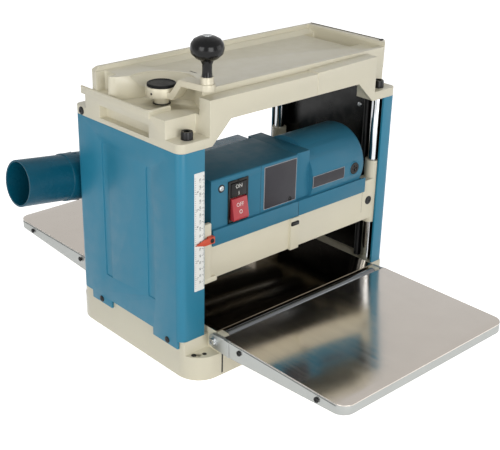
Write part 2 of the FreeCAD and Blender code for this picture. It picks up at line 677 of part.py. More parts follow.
def columns():
    bottom = S.base_rise - S.socket_depth
    top = FRAME_BOTTOM + S.cap_socket
    heads = []
    for name, (x, y) in COLUMNS.items():
        thread = rod("Z", (x, y), (FRAME_BOTTOM - S.socket_depth - 2, top + 1), S.column_bolt + S.running_fit)
        keep(f"{name}_column", cut(rod("Z", (x, y), (bottom, top), S.column_radius), thread))
        shank = rod("Z", (x, y), (FRAME_BOTTOM - S.socket_depth, LUG_TOP), S.column_bolt)
        head = rod("Z", (x, y), (LUG_TOP, LUG_TOP + S.bolt_head_rise), S.bolt_head)
        socket_bottom = LUG_TOP + S.bolt_head_rise / 2
        socket = rod("Z", (x, y), (socket_bottom, LUG_TOP + S.bolt_head_rise + 1), S.bolt_head / 2)
        heads.append(cut(fuse(shank, head), socket))
    keep("column_bolts", group(*heads))


# ---- folding tables -----------------------------------------------------------------------------

def leaf(name, front):
    """One folding table: its sheet, its frame with the hinge arms, and the bolts on its side rails."""
    near = LEAF_START * front
    far = LEAF_END * front
    order = (near, far) if front > 0 else (far, near)
    plan = [(-LEAF_HALF, near), (LEAF_HALF, near), (LEAF_HALF, far), (-LEAF_HALF, far)]
    sheet = prism("XY", plan, (LEAF_SEAT, LEAF_TOP), [((2, 3), S.leaf_corner)])
    keep(f"{name}_table_sheet", sheet)

    bottom = LEAF_SEAT - S.rail_depth
    frame = prism("XY", plan, (bottom, LEAF_SEAT), [((2, 3), S.leaf_corner)])
    tip = LEAF_SEAT - S.rail_tip
    heel = (LEAF_START + S.rail_width) * front
    wedge = prism("YZ", [(heel, bottom - 1), (far + front, bottom - 1), (far + front, tip), (heel, bottom)],
                  spread(LEAF_HALF + 1))
    end_bar = (LEAF_END - S.rail_width) * front
    well_y = (heel, end_bar) if front > 0 else (end_bar, heel)
    well = box(spread(LEAF_HALF - S.rail_width), well_y, (bottom - 1, LEAF_SEAT + 1))
    cross = (order[0] - 1, heel) if front > 0 else (heel, order[1] + 1)
    under_bar = box(spread(LEAF_HALF - S.rail_width), cross, (bottom - 1, tip))
    rails = cut(frame, wedge, well, under_bar)
    ribs = [box((x, x + S.sheet_gauge * 2), well_y, (LEAF_SEAT - S.rail_tip / 2, LEAF_SEAT))
            for x in (-LEAF_HALF / 3, LEAF_HALF / 3)]
    arms = []
    pivot = (PIVOT_Y * front, S.pivot_z)
    low = S.pivot_z - S.arm_radius
    high = S.pivot_z + S.arm_radius
    for x in both(ARM):
        arms.append(rod("X", pivot, x, S.arm_radius))
        strap = [(pivot[0], low), (heel, bottom), (heel, LEAF_SEAT), (near, LEAF_SEAT), (pivot[0], high)]
        arms.append(prism("YZ", strap, x))
    bores = [rod("X", pivot, x, S.pivot_radius + S.running_fit) for x in both((ARM[0] - 1, ARM[1] + 1))]
    keep(f"{name}_table_frame", cut(fuse(rails, *ribs, *arms), *bores))

    bolts = []
    for y in (LEAF_BOLT_NEAR * front, LEAF_BOLT_FAR * front):
        for x in both((LEAF_HALF, LEAF_HALF + S.rail_bolt_rise)):
            bolts.append(rod("X", (y, LEAF_SEAT - S.rail_bolt_drop), x, S.leaf_bolt))
    keep(f"{name}_table_bolts", group(*bolts))


def hinge_bolts():
    bolts = []
    for front in (-1, 1):
        pivot = (PIVOT_Y * front, S.pivot_z)
        for side in (-1, 1):
            shank = rod("X", pivot, ordered((EAR[0] + S.side_gap) * side, ARM[1] * side), S.pivot_radius)
            head_x = ordered(ARM[1] * side, (ARM[1] + S.pivot_radius) * side)
            head = rod("X", pivot, head_x, S.hinge_head)
            bolts.append(fuse(shank, head))
    keep("hinge_bolts", group(*bolts))


def inset(span, margin):
    """The span drawn in by a margin at both ends."""
    return (span[0] + margin, span[1] - margin)


def ordered(first, second):
    return (first, second) if number(first) < number(second) else (second, first)


# ---- side covers ----------------------------------------------------------------------------------

def side_cover(name, side, flange):
    outer_x = HALF_COVER_X * side
    inner_x = (HALF_COVER_X - S.cover_wall) * side
    edge_x = (HALF_COVER_X - flange) * side
    y = HALF_COVER_Y
    inner_y = HALF_COVER_Y - S.cover_wall
    plan = [(edge_x, -y), (outer_x, -y), (outer_x, y), (edge_x, y)]
    plan += [(edge_x, inner_y), (inner_x, inner_y), (inner_x, -inner_y), (edge_x, -inner_y)]
    inside = S.cover_corner - S.cover_wall
    walls = prism("XY", plan, (S.base_rise, FRAME_BOTTOM), [((1, 2), S.cover_corner), ((5, 6), inside)])
    skirt = ordered(outer_x, outer_x - (S.cover_wall - S.free_gap) * side)
    tabs = []
    for low, high in COVER_TABS:
        drop = (S.base_rise - S.cover_tab, S.base_rise)
        tabs.append(box(skirt, (y * low, y * high), drop))
    grooves = []
    floor = ordered(outer_x + side, outer_x - S.groove_depth * side)
    for middle, low, high in COVER_GROOVES:
        half = S.groove_width / 2
        z = (S.base_rise + S.cover_rise * low, S.base_rise + S.cover_rise * high - half)
        grooves.append(box(floor, (y * middle - half, y * middle + half), z))
        grooves.append(rod("X", (y * middle, z[1]), floor, half))
    keep(f"{name}_side_cover", cut(fuse(walls, *tabs), *grooves))

    face = HALF_COVER_X - S.cover_wall - S.panel_gauge * 2
    panel = ordered(face * side, (face - S.panel_gauge) * side)
    depth = spread(HALF_COVER_Y - 2 * S.cover_wall)
    keep(f"{name}_inner_panel", box(panel, depth, (S.base_rise, FRAME_BOTTOM)))


def cover_screws():
    screws = []
    for side in (-1, 1):
        seat = HALF_COVER_X * side
        x = ordered(seat, seat + S.leaf_bolt / 2 * side)
        for share in TAB_SCREWS:
            screws.append(rod("X", (HALF_COVER_Y * share, S.base_rise - S.cover_tab / 2), x, S.leaf_bolt))
        corner = (HALF_COVER_Y * CORNER_SCREW, FRAME_BOTTOM + S.lug_rise / 2)
        screws.append(rod("X", corner, x, S.corner_screw))
    keep("cover_screws", group(*screws))


def scale_plate():
    right = -(HALF_COVER_X - S.flange_left) - S.sheet_gauge / 3
    x = (right - S.scale_width, right)
    y = (-HALF_COVER_Y - S.scale_gauge, -HALF_COVER_Y)
    keep("scale_plate", box(x, y, (S.scale_low, S.scale_low + S.scale_length)))


# ---- top frame and tray ---------------------------------------------------------------------------

def top_frame():
    x, y = HALF_COVER_X, HALF_COVER_Y
    wall = S.frame_wall
    around = rectangle(spread(x), spread(y))
    outer = prism("XY", around, (FRAME_BOTTOM, FRAME_TOP), [(range(4), S.cover_corner)])
    within = rectangle(spread(x - wall), spread(y - wall))
    hollow = prism("XY", within, (FRAME_BOTTOM - 1, DECK_BOTTOM), [(range(4), S.cover_corner - wall)])
    window = prism("XY", rectangle((WINDOW_LEFT, WINDOW_RIGHT), (-WINDOW_FRONT, S.window_back)),
                   (DECK_BOTTOM - 1, FRAME_TOP + 1), [(range(4), S.cover_corner)])
    shell = cut(outer, hollow, window)
    pocket_back = y - S.lug_depth
    lug_x = (POCKET_X, x - wall)
    lugs = [box(lug_span, depth, (FRAME_BOTTOM, LUG_TOP))
            for lug_span in both(lug_x) for depth in both((pocket_back, y - wall))]
    walls = [box(span, depth, (FRAME_BOTTOM, FRAME_TOP))
             for span in both(lug_x) for depth in both((pocket_back - wall / 2, pocket_back))]
    walls += [box(span, depth, (FRAME_BOTTOM, FRAME_TOP))
              for span in both((ARCH_FOOT, POCKET_X)) for depth in both((pocket_back - wall / 2, y - wall))]
    grips = [box(span, spread(S.grip_length / 2 + wall), (FRAME_BOTTOM + wall / 2, LUG_TOP + S.grip_height))
             for span in both((x - wall - S.grip_depth, x - wall))]
    bosses = [rod("Z", at, (LUG_TOP + wall, DECK_BOTTOM), S.nut_radius) for at in (*SCREWS.values(), CRANK)]
    solid = fuse(shell, *lugs, *walls, *grips, front_beam(), *frame_lip(), *bosses)

    arch = [(-ARCH_FOOT, FRAME_BOTTOM - 1), (ARCH_FOOT, FRAME_BOTTOM - 1),
            (ARCH_HALF, FRAME_BOTTOM + S.arch_rise), (-ARCH_HALF, FRAME_BOTTOM + S.arch_rise)]
    tools = [prism("XZ", arch, span) for span in both((y - wall - 1, y + 1))]
    for span in both((POCKET_X, x + 1)):
        for depth in both((pocket_back, y + 1)):
            tools.append(box(span, depth, (LUG_TOP, FRAME_TOP + S.beam_right_rise + 1)))
    grip_z = (LUG_TOP - wall, LUG_TOP - wall + S.grip_height)
    for span in both((x - S.grip_depth, x + 1)):
        tools.append(box(span, spread(S.grip_length / 2), grip_z))
    for at in COLUMNS.values():
        socket = (FRAME_BOTTOM - 1, FRAME_BOTTOM + S.cap_socket)
        tools.append(rod("Z", at, socket, S.column_radius + S.running_fit))
        tools.append(rod("Z", at, (FRAME_BOTTOM, LUG_TOP + 1), S.column_bolt + S.bolt_gap))
    for at in SCREWS.values():
        tools.append(rod("Z", at, (FRAME_BOTTOM, FRAME_TOP + 1), S.screw_radius + S.running_fit))
    tools.append(rod("Z", CRANK, (FRAME_BOTTOM, FRAME_TOP + 1), S.crank_shaft_radius + S.running_fit))
    keep("top_frame", cut(solid, *tools))


def front_beam():
    """The beam over the front arch; its top steps up at the seam and climbs to the right."""
    left_top = FRAME_TOP + S.beam_rise
    right_top = FRAME_TOP + S.beam_right_rise
    seam_top = left_top + (S.beam_right_rise - S.beam_rise) / 3
    profile = [(-POCKET_X, FRAME_TOP), (POCKET_X, FRAME_TOP), (POCKET_X, right_top), (S.beam_seam, seam_top),
               (S.beam_seam, left_top), (-POCKET_X, left_top)]
    return prism("XZ", profile, (-HALF_COVER_Y, -HALF_COVER_Y + S.beam_depth))


def frame_lip():
    """The lip round the left end of the deck, which turns in before the crank."""
    edge = -HALF_COVER_X - S.lip_stand
    top = FRAME_TOP + S.lip_rise
    side = box((edge, -HALF_COVER_X), (S.lip_front, S.lip_back), (FRAME_TOP - S.lip_rise, top))
    niche_y = (S.lip_front, -S.crank_y - S.tray_wall)
    niche = box((edge, -HALF_COVER_X + S.lip_stand), niche_y, (FRAME_TOP, top))
    turn = box((edge, CRANK_X - S.hub_radius / 2), (S.lip_front, S.lip_front + S.lip_stand), (FRAME_TOP, top))
    return side, niche, turn


def tray_plan(inset):
    """Outline of the tray, with its left front corner cut away round the crank."""
    x = HALF_COVER_X - inset
    back = TRAY_BACK - inset
    front = -TRAY_FRONT + inset
    behind_crank = (CRANK_X + S.hub_radius / 2, S.crank_y + S.niche_back + inset)
    beside_crank = (CRANK_X + S.niche_side + inset, S.crank_y - S.cap_radius)
    return [(-x, back), (-x, -S.crank_y + inset), behind_crank, beside_crank,
            (-HALF_BED + S.pan_margin + inset, front), (x, front), (x, back)]


def top_tray():
    x, rim = HALF_COVER_X, S.rim_top
    over = rim + 1
    rounds = [((0, 5, 6), S.cover_corner), ((1, 2, 3), S.base_corner / 3)]
    block = prism("XY", tray_plan(0), (FRAME_TOP, rim), rounds)
    inner_x = x - S.rim_width
    inner_y = RIM_BACK - S.rim_width
    flare = [(inner_x, S.well_floor), (x, S.well_floor - S.rim_width), (x + S.tray_flare, S.front_lip),
             (x + S.tray_flare, rim), (inner_x, rim)]
    flared = prism("XZ", flare, (-TRAY_FRONT + S.cover_corner, RIM_BACK))
    step = box((-x - 1, inner_x), (-TRAY_FRONT - 1, inner_y), (S.front_lip, over))
    shoulder = rim - S.tray_slope
    behind = TRAY_BACK + 1
    back = [(behind, shoulder), (TRAY_BACK, shoulder), (RIM_BACK, rim), (RIM_BACK, over), (behind, over)]
    back_slope = prism("YZ", back, spread(x + S.tray_flare + 1))
    lean = S.tray_slope - x
    end = [(-x - 1, shoulder), (-x, shoulder), (lean, rim), (lean, over), (-x - 1, over)]
    end_slope = prism("XZ", end, (inner_y - 1, behind))
    well_plan = rectangle((x - S.well_side, inner_x), (S.well_front, PAN_BACK))
    well = prism("XY", well_plan, (S.well_floor, S.tray_floor + 1), [(range(4), S.tray_wall)])
    room = [step, back_slope, end_slope, tray_pan(inner_x, inner_y), well, *tray_underside()]
    hollow = cut(fuse(block, flared), *room)

    notch_x = -x + S.notch_depth
    notch_y = (S.notch_front, S.notch_back)
    notch_plan = rectangle((-x - 1, notch_x), notch_y)
    notch = prism("XY", notch_plan, (FRAME_TOP + S.lip_rise, over), [((1, 2), S.tray_wall)])
    lining_y = inset(notch_y, -S.tray_wall)
    lining = box((-x + 1, notch_x + S.tray_wall), lining_y, (FRAME_TOP, S.front_lip - S.tray_wall))
    lower_block = prism("XY", tray_plan(0), (FRAME_TOP, S.front_lip), rounds)
    niche_wall = common(crank_niche(S.tray_wall), lower_block)
    keep("top_tray", cut(fuse(hollow, lining, niche_wall), notch, crank_niche(0)))


def tray_pan(inner_x, inner_y):
    """The room above the tray's floor, with the slope at its back."""
    edge = S.pan_margin
    left = -HALF_COVER_X + S.pan_left
    front = -TRAY_FRONT + edge
    floor, top = S.tray_floor, S.rim_top + 1
    plan = [(left - 4 * edge, inner_y), (left - 2 * edge, 2 * edge), (left + edge, S.crank_y - edge),
            (left, front), (inner_x, front), (inner_x, inner_y)]
    room = prism("XY", plan, (floor, top), [(range(6), edge)])
    side = [(front - 1, floor), (PAN_BACK, floor), (inner_y, S.rim_top), (inner_y, top), (front - 1, top)]
    return common(room, prism("YZ", side, spread(HALF_COVER_X)))


def crank_niche(grow):
    """The cone swept by the step of the turning crank arm, with its clearance."""
    low = S.step_start + S.crank_room + grow
    high = low + S.step_run
    foot = S.crank_bottom - S.tray_wall
    bottom, top = foot - grow, S.rim_top
    cone = [(0, bottom), (low, bottom), (high, foot + S.step_rise), (high, top), (0, top)]
    return turned("Z", CRANK, 0, cone)


def tray_underside():
    """The hollows under the tray: a low one everywhere and a high one under its floor."""
    edge = S.pan_margin
    low = prism("XY", tray_plan(S.tray_wall), (FRAME_TOP - 1, S.well_floor - S.tray_wall))
    across = (-HALF_COVER_X + S.pan_left + 2 * edge, HALF_COVER_X - S.well_side - S.tray_wall)
    high_plan = rectangle(across, (-TRAY_FRONT + 2 * edge, PAN_BACK - edge))
    return low, prism("XY", high_plan, (FRAME_TOP, S.tray_floor - S.tray_wall))


# ---- crank and lift -------------------------------------------------------------------------------

def lift_screws():
    top = S.lift_chain_z + S.chain_height
    wheels = {}
    for name, at in SCREWS.items():
        shaft = rod("Z", at, (S.base_rise - S.screw_foot, top), S.screw_radius)
        sprocket = rod("Z", at, (S.lift_chain_z, top), S.sprocket_radius)
        wheels[name] = [shaft, sprocket]
    lower = (S.crank_chain_z, S.crank_chain_z + S.chain_height)
    wheels["left"].append(rod("Z", SCREWS["left"], lower, S.sprocket_radius))
    for name, solids in wheels.items():
        keep(f"{name}_lift_screw", fuse(*solids))
    ends = [(at, S.sprocket_radius) for at in SCREWS.values()]
    keep("lift_chain", belt("Z", (S.lift_chain_z, top), ends, S.chain_gauge, S.free_gap))
    ends = [(CRANK, S.sprocket_radius), (SCREWS["left"], S.sprocket_radius)]
    keep("crank_chain", belt("Z", lower, ends, S.chain_gauge, S.free_gap))


def lift_nuts():
    nuts = []
    low = S.sleeve_low + 2 * S.nut_radius
    for at in SCREWS.values():
        body = rod("Z", at, (low, low + S.nut_rise), S.nut_body)
        nuts.append(cut(body, rod("Z", at, (low - 1, low + S.nut_rise + 1), S.screw_radius + S.running_fit)))
    keep("lift_nuts", group(*nuts))


def crank_point(reach):
    """Place of a point of the crank arm, `reach` from the crank axis."""
    angle = math.radians(number(S.crank_turn))
    return (CRANK_X + reach * math.cos(angle), S.crank_y + reach * math.sin(angle))


def crank():
    bottom = S.crank_bottom
    hub_top = bottom + S.hub_rise
    end_low = bottom + S.step_rise
    end_high = end_low + S.arm_gauge
    knob_at = crank_point(S.crank_reach)
    hub = rod("Z", CRANK, (bottom, hub_top), S.hub_radius)
    boss = rod("Z", CRANK, (FRAME_TOP + S.free_gap, bottom), S.boss_radius)
    step_end = S.step_start + S.step_run
    profile = [(0, bottom), (S.step_start, bottom), (step_end, end_low), (S.crank_reach, end_low),
               (S.crank_reach, end_high), (step_end - S.arm_gauge / 2, end_high),
               (S.step_start - S.arm_gauge / 2, bottom + S.arm_gauge), (0, bottom + S.arm_gauge)]
    web = prism("XZ", profile, spread(S.arm_half))
    place(web, *CRANK, 0, Rotation(Vector(0, 0, 1), number(S.crank_turn)))
    bind(web, "Placement.Rotation.Angle", S.crank_turn)
    tip = rod("Z", knob_at, (end_low, end_high), S.arm_half)
    post = rod("Z", knob_at, (end_high, S.knob_foot), S.nut_radius)
    drilled = rod("Z", CRANK, (FRAME_TOP, hub_top), S.crank_shaft_radius + S.running_fit)
    pin_hole = rod("Z", knob_at, (end_low, S.knob_foot + 1), S.knob_pin_radius)
    keep("crank_arm", cut(fuse(hub, boss, web, tip, post), drilled, pin_hole))

    keep("crank_cap", rod("Z", CRANK, (hub_top, hub_top + S.cap_rise), S.cap_radius))
    shaft = rod("Z", CRANK, (S.crank_chain_z, hub_top), S.crank_shaft_radius)
    sprocket = rod("Z", CRANK, (S.crank_chain_z, S.crank_chain_z + S.chain_height), S.sprocket_radius)
    keep("crank_shaft", fuse(shaft, sprocket))

    rise = S.knob_top - S.knob_foot
    bore = S.knob_pin_radius + S.running_fit
    stem = [(S.stem_radius * wide, rise * high) for wide, high in KNOB_STEM]
    ball = [(S.knob_radius * wide, rise * high) for wide, high in KNOB_BALL]
    knob = [(bore, 0), *stem, *ball, (bore, rise)]
    keep("crank_knob", turned("Z", knob_at, S.knob_foot, knob))
    pin = rod("Z", knob_at, (end_low, S.knob_top), S.knob_pin_radius)
    dome = rod("Z", knob_at, (S.knob_top, S.knob_top + 1), S.dome_radius)
    keep("knob_pin", fuse(pin, dome))


# ---- cutter head carriage ---------------------------------------------------------------------------

def head_casting():
    low = S.cut_height + 1
    right_plate = box(PLATE, spread(PANEL_FRONT), (low, S.carriage_top))
    cheek = S.motor_pulley_radius + S.panel_wall
    foot = cheek + S.panel_wall * 2
    profile = [(-PANEL_FRONT, low), (PANEL_FRONT, low), (PANEL_FRONT, S.carriage_top),
               (MOTOR_Y + foot, S.carriage_top), (MOTOR_Y + cheek, S.motor_z + cheek),
               (MOTOR_Y - cheek, S.motor_z + cheek), (MOTOR_Y - foot, S.carriage_top),
               (-PANEL_FRONT, S.carriage_top)]
    left_plate = prism("YZ", profile, (-PLATE[1], -PLATE[0]))
    width = spread(PLATE_INNER)
    front = box(width, (-PANEL_FRONT, -PANEL_FRONT + S.panel_wall), (low, S.panel_top))
    rear_low = S.panel_top - 3 * S.panel_wall
    rear = box(width, (PANEL_FRONT - S.panel_wall, PANEL_FRONT), (rear_low, S.carriage_top))
    deck = box(width, (S.panel_wall, PANEL_FRONT), (S.carriage_top - S.panel_wall, S.carriage_top))
    rib = box((-S.panel_wall / 2, S.rib_right), (-PANEL_FRONT - S.rib_rise, -PANEL_FRONT),
              (low - 1, S.panel_top))
    guard = common(
        cut(rod("X", (0, DRUM_Z), width, S.knife_circle + 2 * S.panel_wall),
            rod("X", (0, DRUM_Z), (width[0] - 1, width[1] + 1), S.knife_circle + S.panel_wall)),
        box(width, (0, S.knife_circle + 2 * S.panel_wall), (DRUM_Z, S.carriage_top)))
    sleeves = [rod("Z", at, (S.sleeve_low, S.sleeve_high), S.sleeve_radius) for at in COLUMNS.values()]
    webs = []
    for side in (-1, 1):
        for back in (-1, 1):
            x = ordered(PLATE[1] * side, COLUMN_X * side)
            y = ordered(PANEL_FRONT * back, (COLUMN_Y - S.web_back) * back)
            webs.append(box(x, y, (low, S.carriage_top)))
    bosses = []
    nut_foot = S.sleeve_low + 2 * S.nut_radius
    for side, at in zip((-1, 1), SCREWS.values()):
        z = (nut_foot, nut_foot + S.nut_rise)
        bosses.append(rod("Z", at, z, S.nut_radius))
        bosses.append(box(ordered(PLATE[0] * side, at[0]), spread_at(at[1], S.nut_body), z))
    solid = fuse(left_plate, right_plate, front, rear, deck, rib, guard, *sleeves, *webs, *bosses)
    chip_slot = box(spread(HOOD_HALF - 2 * S.panel_wall), (PANEL_FRONT - S.panel_wall - 1, PANEL_FRONT + 1),
                    (rear_low + S.panel_wall, S.carriage_top - 2 * S.panel_wall))
    shaft_way = rod("X", (MOTOR_Y, S.motor_z), (-PLATE[1] - 1, -PLATE[0] + 1), S.motor_shaft + S.running_fit)
    motor_seat = rod("X", (MOTOR_Y, S.motor_z), (PLATE_INNER - 1, MOTOR_RIGHT + 1), S.motor_radius + 1)
    tools = [chip_slot, shaft_way, motor_seat]
    for at in COLUMNS.values():
        tools.append(rod("Z", at, (S.sleeve_low - 1, S.sleeve_high + 1), S.column_radius + S.running_fit))
    for at in SCREWS.values():
        tools.append(rod("Z", at, (S.sleeve_low, S.carriage_top + 1), S.nut_body))
    for x in both((PLATE[0] - 1, PLATE[1] + 1)):
        tools.append(rod("X", (0, DRUM_Z), x, S.bearing_radius + S.running_fit))
        for y in (-S.feed_y, S.feed_y):
            tools.append(rod("X", (y, FEED_Z), x, S.feed_journal + S.running_fit))
    keep("head_casting", cut(solid, *tools))


def depth_pointer():
    root = POINTER_X
    tip = -(HALF_COVER_X - S.flange_left) - S.scale_width - S.sheet_gauge
    plate_y = -HALF_COVER_Y - 4 * S.scale_gauge
    half = S.pivot_radius
    blade = [(tip, S.pointer_z), (tip + S.scale_width, S.pointer_z - half), (root + half, S.pointer_z - half),
             (root + half, S.pointer_z + half), (tip + S.scale_width, S.pointer_z + half)]
    flat_blade = prism("XZ", blade, (plate_y - S.scale_gauge * 2, plate_y))
    foot = box((root - half, root + half), (plate_y, -PANEL_FRONT), (S.pointer_z - half, S.pointer_z + half))
    keep("depth_pointer", fuse(flat_blade, foot))


def head_screws():
    """The pointer's screw, the cap in the right end plate and the switch cover's two screws."""
    face_y = -HALF_COVER_Y - 6 * S.scale_gauge
    pointer = rod("Y", (POINTER_X, S.pointer_z), (face_y - 2 * S.scale_gauge, face_y), S.pointer_screw)
    cap_at = (PLATE[1] + S.pivot_radius, S.panel_top - 3 * S.panel_wall)
    cap = rod("Y", cap_at, (-PANEL_FRONT - S.sheet_gauge, -PANEL_FRONT), S.bolt_head)
    y = (-SWITCH_FACE - S.sheet_gauge / 2, -SWITCH_FACE)
    upper = rod("Y", (SWITCH_LEFT + S.bolt_head * 2, S.switch_top - S.bolt_head), y, S.column_bolt)
    lower = rod("Y", (S.switch_right - S.bolt_head * 2, S.band_top + S.bolt_head), y, S.column_bolt)
    keep("head_screws", group(pointer, cap, upper, lower))


def cutter_drum():
    half = DRUM_HALF
    at = (0, DRUM_Z)
    body = rod("X", at, spread(half), S.drum_radius)
    far = S.drum_radius + 1
    flats = [box(spread(half + 1), spread(far), ordered(DRUM_Z + S.drum_flat * s, DRUM_Z + far * s))
             for s in (-1, 1)]
    right_end = PLATE[1] + S.drum_shaft_end
    shaft = rod("X", at, (-PLATE[1] - S.free_gap, right_end), S.drum_shaft)
    stub = rod("X", at, (BELT_X, -PLATE[1]), S.motor_shaft)
    keep("cutter_drum", fuse(cut(body, *flats), shaft, stub))

    knives = []
    clamps = []
    for s in (-1, 1):
        seat = DRUM_Z + S.drum_flat * s
        top = DRUM_Z + (S.drum_flat + S.knife_gauge) * s
        edge = S.knife_reach
        knives.append(box(spread(half), ordered(edge * s, (edge - S.knife_width) * s), ordered(seat, top)))
        bar = common(rod("X", at, spread(half), S.drum_radius - S.free_gap),
                     box(spread(half), spread(S.drum_flat), ordered(top, DRUM_Z + far * s)))
        clamps.append(bar)
    keep("knives", group(*knives))
    keep("knife_clamps", group(*clamps))
    rings = []
    for x in both((PLATE[0] + 1, PLATE[1] - 1)):
        ring = rod("X", at, x, S.bearing_radius)
        rings.append(cut(ring, rod("X", at, (x[0] - 1, x[1] + 1), S.drum_shaft + S.running_fit)))
    keep("drum_bearings", group(*rings))


def feed_rollers():
    half = DRUM_HALF - 2
    for name, y in (("infeed", -S.feed_y), ("outfeed", S.feed_y)):
        at = (y, FEED_Z)
        sleeve = cut(rod("X", at, spread(half), S.feed_radius), rod("X", at, spread(half + 1), S.feed_core))
        keep(f"{name}_roller", sleeve)
        core = rod("X", at, spread(PLATE_INNER - 1), S.feed_core)
        end = FEED_CHAIN_X + S.feed_chain_width
        journals = rod("X", at, (-PLATE[1], end), S.feed_journal)
        wheel = rod("X", at, (FEED_CHAIN_X, end), S.feed_sprocket)
        keep(f"{name}_shaft", fuse(core, journals, wheel))
    wheels = [((y, FEED_Z), S.feed_sprocket) for y in (-S.feed_y, S.feed_y)]
    span = (FEED_CHAIN_X, FEED_CHAIN_X + S.feed_chain_width)
    keep("feed_chain", belt("X", span, wheels, S.belt_gauge, S.free_gap))

    case_x = (PLATE[1], PLATE[1] + S.gear_case_width)
    case = loop_block("X", case_x, [((0, DRUM_Z), S.knife_circle), ((S.feed_y, FEED_Z), S.feed_radius)], 0)
    seat_x = (PLATE[1] - 1, case_x[1] - S.feed_chain_width / 2)
    drum_seat = rod("X", (0, DRUM_Z), seat_x, S.drum_shaft + S.running_fit)
    through = rod("X", (S.feed_y, FEED_Z), (PLATE[1] - 1, case_x[1] + 1), S.feed_journal + S.running_fit)
    keep("feed_gear_case", cut(case, drum_seat, through))


# ---- motor, belt and switch ---------------------------------------------------------------------------

def motor():
    at = (MOTOR_Y, S.motor_z)
    left = S.switch_right
    length = MOTOR_RIGHT - S.motor_left
    outer = S.motor_radius
    inner = outer - S.motor_wall
    bore = S.motor_shaft + S.running_fit
    wall = S.motor_wall
    bend = S.motor_round
    soft = S.motor_soft
    cup = [(S.intake_radius, 0), (outer, 0), (outer, length - bend), (outer - soft, length - soft),
           (outer - bend, length), (bore, length), (bore, length - wall), (inner, length - wall),
           (inner, wall), (S.intake_radius, wall)]
    drum = turned("X", at, S.motor_left, cup)
    collar_x = (left, S.motor_left)
    collar_y = (-PANEL_FRONT + S.panel_wall, MOTOR_Y + outer)
    collar_z = (S.carriage_top + 1, S.switch_top)
    duct = box((left - 1, S.motor_left + 1), inset(collar_y, wall), inset(collar_z, wall))
    collar = cut(box(collar_x, collar_y, collar_z), duct)
    band_y = (-BAND_FACE, -PANEL_FRONT + S.panel_wall)
    band = cut(box((left, PLATE_INNER - 1), band_y, (S.panel_top, S.band_top)),
               rod("X", at, (S.motor_left, MOTOR_RIGHT), outer - 1))
    tail_x = (PLATE_INNER - 1, PLATE_INNER + S.band_over)
    tail = box(tail_x, (-BAND_FACE, -PANEL_FRONT), (S.panel_top, S.band_top))
    housing = fuse(drum, collar, band, tail)
    caps = []
    seats = []
    for side in (-1, 1):
        y = ordered(MOTOR_Y + (inner - S.brush_depth) * side, MOTOR_Y + (outer + S.brush_stand) * side)
        seats.append(rod("Y", (BRUSH_X, S.motor_z), ordered(y[0] - 1, y[1] + 1), S.brush_radius))
        caps.append(rod("Y", (BRUSH_X, S.motor_z), y, S.brush_radius))
    keep("motor_housing", cut(housing, *seats))
    keep("brush_caps", group(*caps))

    stack = (S.stack_left, S.stack_left + S.stack_length)
    ring = cut(rod("X", at, stack, S.stator_radius), rod("X", at, inset(stack, -1), S.stator_bore))
    carrier = []
    for side in (-1, 1):
        y = ordered(MOTOR_Y + (S.stator_radius - 3) * side, MOTOR_Y + inner * side)
        carrier.append(box(stack, y, spread_at(S.motor_z, S.motor_round)))
    inside = rod("X", at, stack, inner)
    keep("motor_stator", fuse(ring, common(fuse(*carrier), inside)))
    shaft = rod("X", at, (BELT_X, MOTOR_RIGHT), S.motor_shaft)
    core = rod("X", at, stack, S.rotor_radius)
    fan = rod("X", at, (S.motor_left + wall * 2, S.stack_left - wall), S.fan_radius)
    commutator = rod("X", at, (BRUSH_X - S.motor_round, BRUSH_X + S.motor_round), S.rotor_radius / 2)
    keep("motor_rotor", fuse(shaft, core, fan, commutator))


def spread_at(middle, half):
    return (middle - half, middle + half)


def drive_belt():
    x = (BELT_X, BELT_X + S.belt_width)
    motor_at = (MOTOR_Y, S.motor_z)
    drum_at = (0, DRUM_Z)
    wheels = [(motor_at, S.motor_pulley_radius), (drum_at, S.drum_pulley_radius)]
    for name, (at, radius) in zip(("motor", "drum"), wheels):
        keep(f"{name}_pulley", cut(rod("X", at, x, radius), rod("X", at, inset(x, -1), S.motor_shaft)))
    keep("drive_belt", belt("X", x, wheels, S.belt_gauge, S.free_gap))
    grow = S.belt_gauge + S.journal_radius
    gauge = S.switch_wall / 2
    cover_x = (x[0] - 2 * gauge, -PLATE[1])
    shell = loop_block("X", cover_x, wheels, grow + gauge)
    inside = loop_block("X", (cover_x[0] + gauge, cover_x[1] + 1), wheels, grow)
    keep("belt_cover", cut(shell, inside))


def switch_cover():
    face, back, wall = SWITCH_FACE, S.switch_back, S.switch_wall
    ledge = S.carriage_top + 1
    profile = [(-BAND_FACE, S.panel_top), (-S.switch_skirt, S.panel_top), (-S.switch_skirt, ledge),
               (-back, ledge), (-back, S.switch_top), (-face, S.switch_top), (-face, S.band_top),
               (-BAND_FACE, S.band_top)]
    x = (SWITCH_LEFT, S.switch_right)
    shell = prism("YZ", profile, x, [((4, 5), wall)])
    inner_back, inner_top = -back - wall, S.switch_top - wall
    inner = [(-face + wall, S.panel_top - 1), (-S.switch_skirt + 1, S.panel_top - 1),
             (-S.switch_skirt + 1, ledge - 1), (inner_back, ledge - 1), (inner_back, inner_top),
             (-face + wall, inner_top)]
    hollow = prism("YZ", inner, (x[0] + wall, x[1] + 1))
    shaft_way = rod("X", (MOTOR_Y, S.motor_z), (x[0] - 1, x[0] + wall + 1), S.motor_shaft * 2)
    half = S.switch_width / 2
    z = (S.switch_low, S.switch_high)
    opening = box(spread_at(S.switch_x, half), (-face - 1, -face + wall + 1), z)
    keep("switch_cover", cut(shell, hollow, shaft_way, opening))


